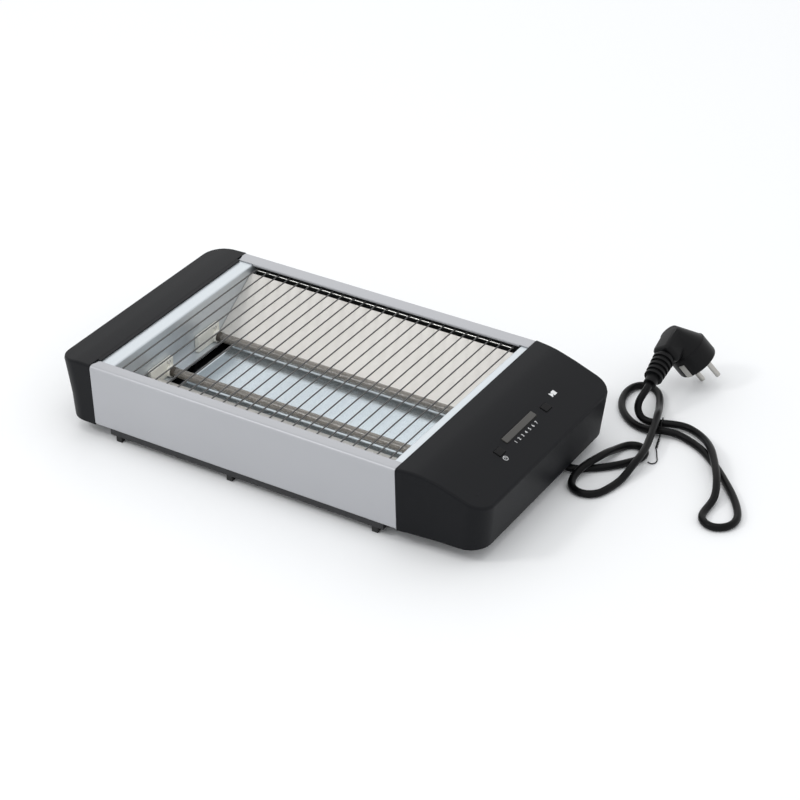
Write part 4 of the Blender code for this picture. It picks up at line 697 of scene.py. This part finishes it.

# %% [markdown]
# The plug, its ribbed relief, the pins and the tie belong to the cord.

# %% Plug and tie
plug_pieces = [
    finish_copy("plug_relief", plug_rubber, 0.0002, 2, 50.0),
    finish_copy("plug_body", plug_rubber, 0.0004, 3, 50.0),
    finish_copy("earth_strip", pin_metal, 0.0001),
    finish_copy("plug_pins", pin_metal, 0.0001, 2, 50.0),
]
tie = finish_copy("cord_tie", cord_rubber, 0.0, angle=60.0)
print("pieces on the cord", len(plug_pieces) + 1)

# %% [markdown]
# ## Floor
# The toaster stands on a white table that runs on past the picture. A plane is enough. It is
# dull, so that it shows the shadow and no mirror image.

# %% Floor
deselect_all()
bpy.ops.mesh.primitive_plane_add(size=30.0, location=(0.0, 0.0, 0.0))
floor = bpy.context.object
floor.name = "floor"
floor_finish = bpy.data.materials.new("floor_white")
floor_finish.use_nodes = True
floor_shader = shader_of(floor_finish)
floor_shader.inputs["Base Color"].default_value = (0.99, 0.99, 0.99, 1.0)
floor_shader.inputs["Roughness"].default_value = 0.9
floor_shader.inputs["Specular IOR Level"].default_value = 0.1
floor.data.materials.append(floor_finish)
print("floor", floor.dimensions[0], "m")

# %% [markdown]
# ## Light
# The room is a light tent: even light from all sides at a plain level. What the camera, the
# metal and the glass see of it is white. One background can't be both, so Light Path picks
# between two: the plain one lights the toaster, and the white one is only looked at.

# %% Light tent
world = bpy.data.worlds.new("tent")
bpy.context.scene.world = world
world.use_nodes = True
nodes, links = world.node_tree.nodes, world.node_tree.links
background = nodes["Background"]
background.inputs["Color"].default_value = (0.96, 0.98, 1.0, 1.0)
background.inputs["Strength"].default_value = 0.84
seen = nodes.new("ShaderNodeBackground")
seen.inputs["Color"].default_value = (1.0, 1.0, 1.0, 1.0)
seen.inputs["Strength"].default_value = 1.0
ray = nodes.new("ShaderNodeLightPath")
seen_or_mirrored = nodes.new("ShaderNodeMath")
seen_or_mirrored.operation = "MAXIMUM"
links.new(ray.outputs["Is Camera Ray"], seen_or_mirrored.inputs[0])
links.new(ray.outputs["Is Glossy Ray"], seen_or_mirrored.inputs[1])
seen_at_all = nodes.new("ShaderNodeMath")
seen_at_all.operation = "MAXIMUM"
links.new(seen_or_mirrored.outputs["Value"], seen_at_all.inputs[0])
links.new(ray.outputs["Is Transmission Ray"], seen_at_all.inputs[1])
pick = nodes.new("ShaderNodeMixShader")
links.new(seen_at_all.outputs["Value"], pick.inputs["Fac"])
links.new(background.outputs["Background"], pick.inputs[1])
links.new(seen.outputs["Background"], pick.inputs[2])
links.new(pick.outputs["Shader"], nodes["World Output"].inputs["Surface"])
print("tent nodes", len(nodes))

# %% [markdown]
# Three soft lamps give the tent a direction. The top lamp makes the shadow, the edge lamp from
# the front left lifts the front panel's bend, and the weak back lamp puts a sheen on the flat
# tops and on the tray.

# %% Lamps
lamp_aim = Vector((0.05, 0.0, 0.03))


def soft_lamp(name, where, size, power):
    bpy.ops.object.light_add(type="AREA", location=where)
    lamp = bpy.context.object
    lamp.name = name
    lamp.data.shape = "SQUARE"
    lamp.data.size = size
    lamp.data.energy = power
    lamp.rotation_euler = (lamp_aim - lamp.location).to_track_quat("-Z", "Y").to_euler()


soft_lamp("top_lamp", (0.1, -0.3, 2.4), 1.6, 8.0)
soft_lamp("edge_lamp", (-1.05, -1.27, 1.73), 0.4, 8.0)
soft_lamp("back_lamp", (-1.05, 1.73, 1.30), 1.2, 2.0)
bpy.context.scene.view_settings.view_transform = "Standard"
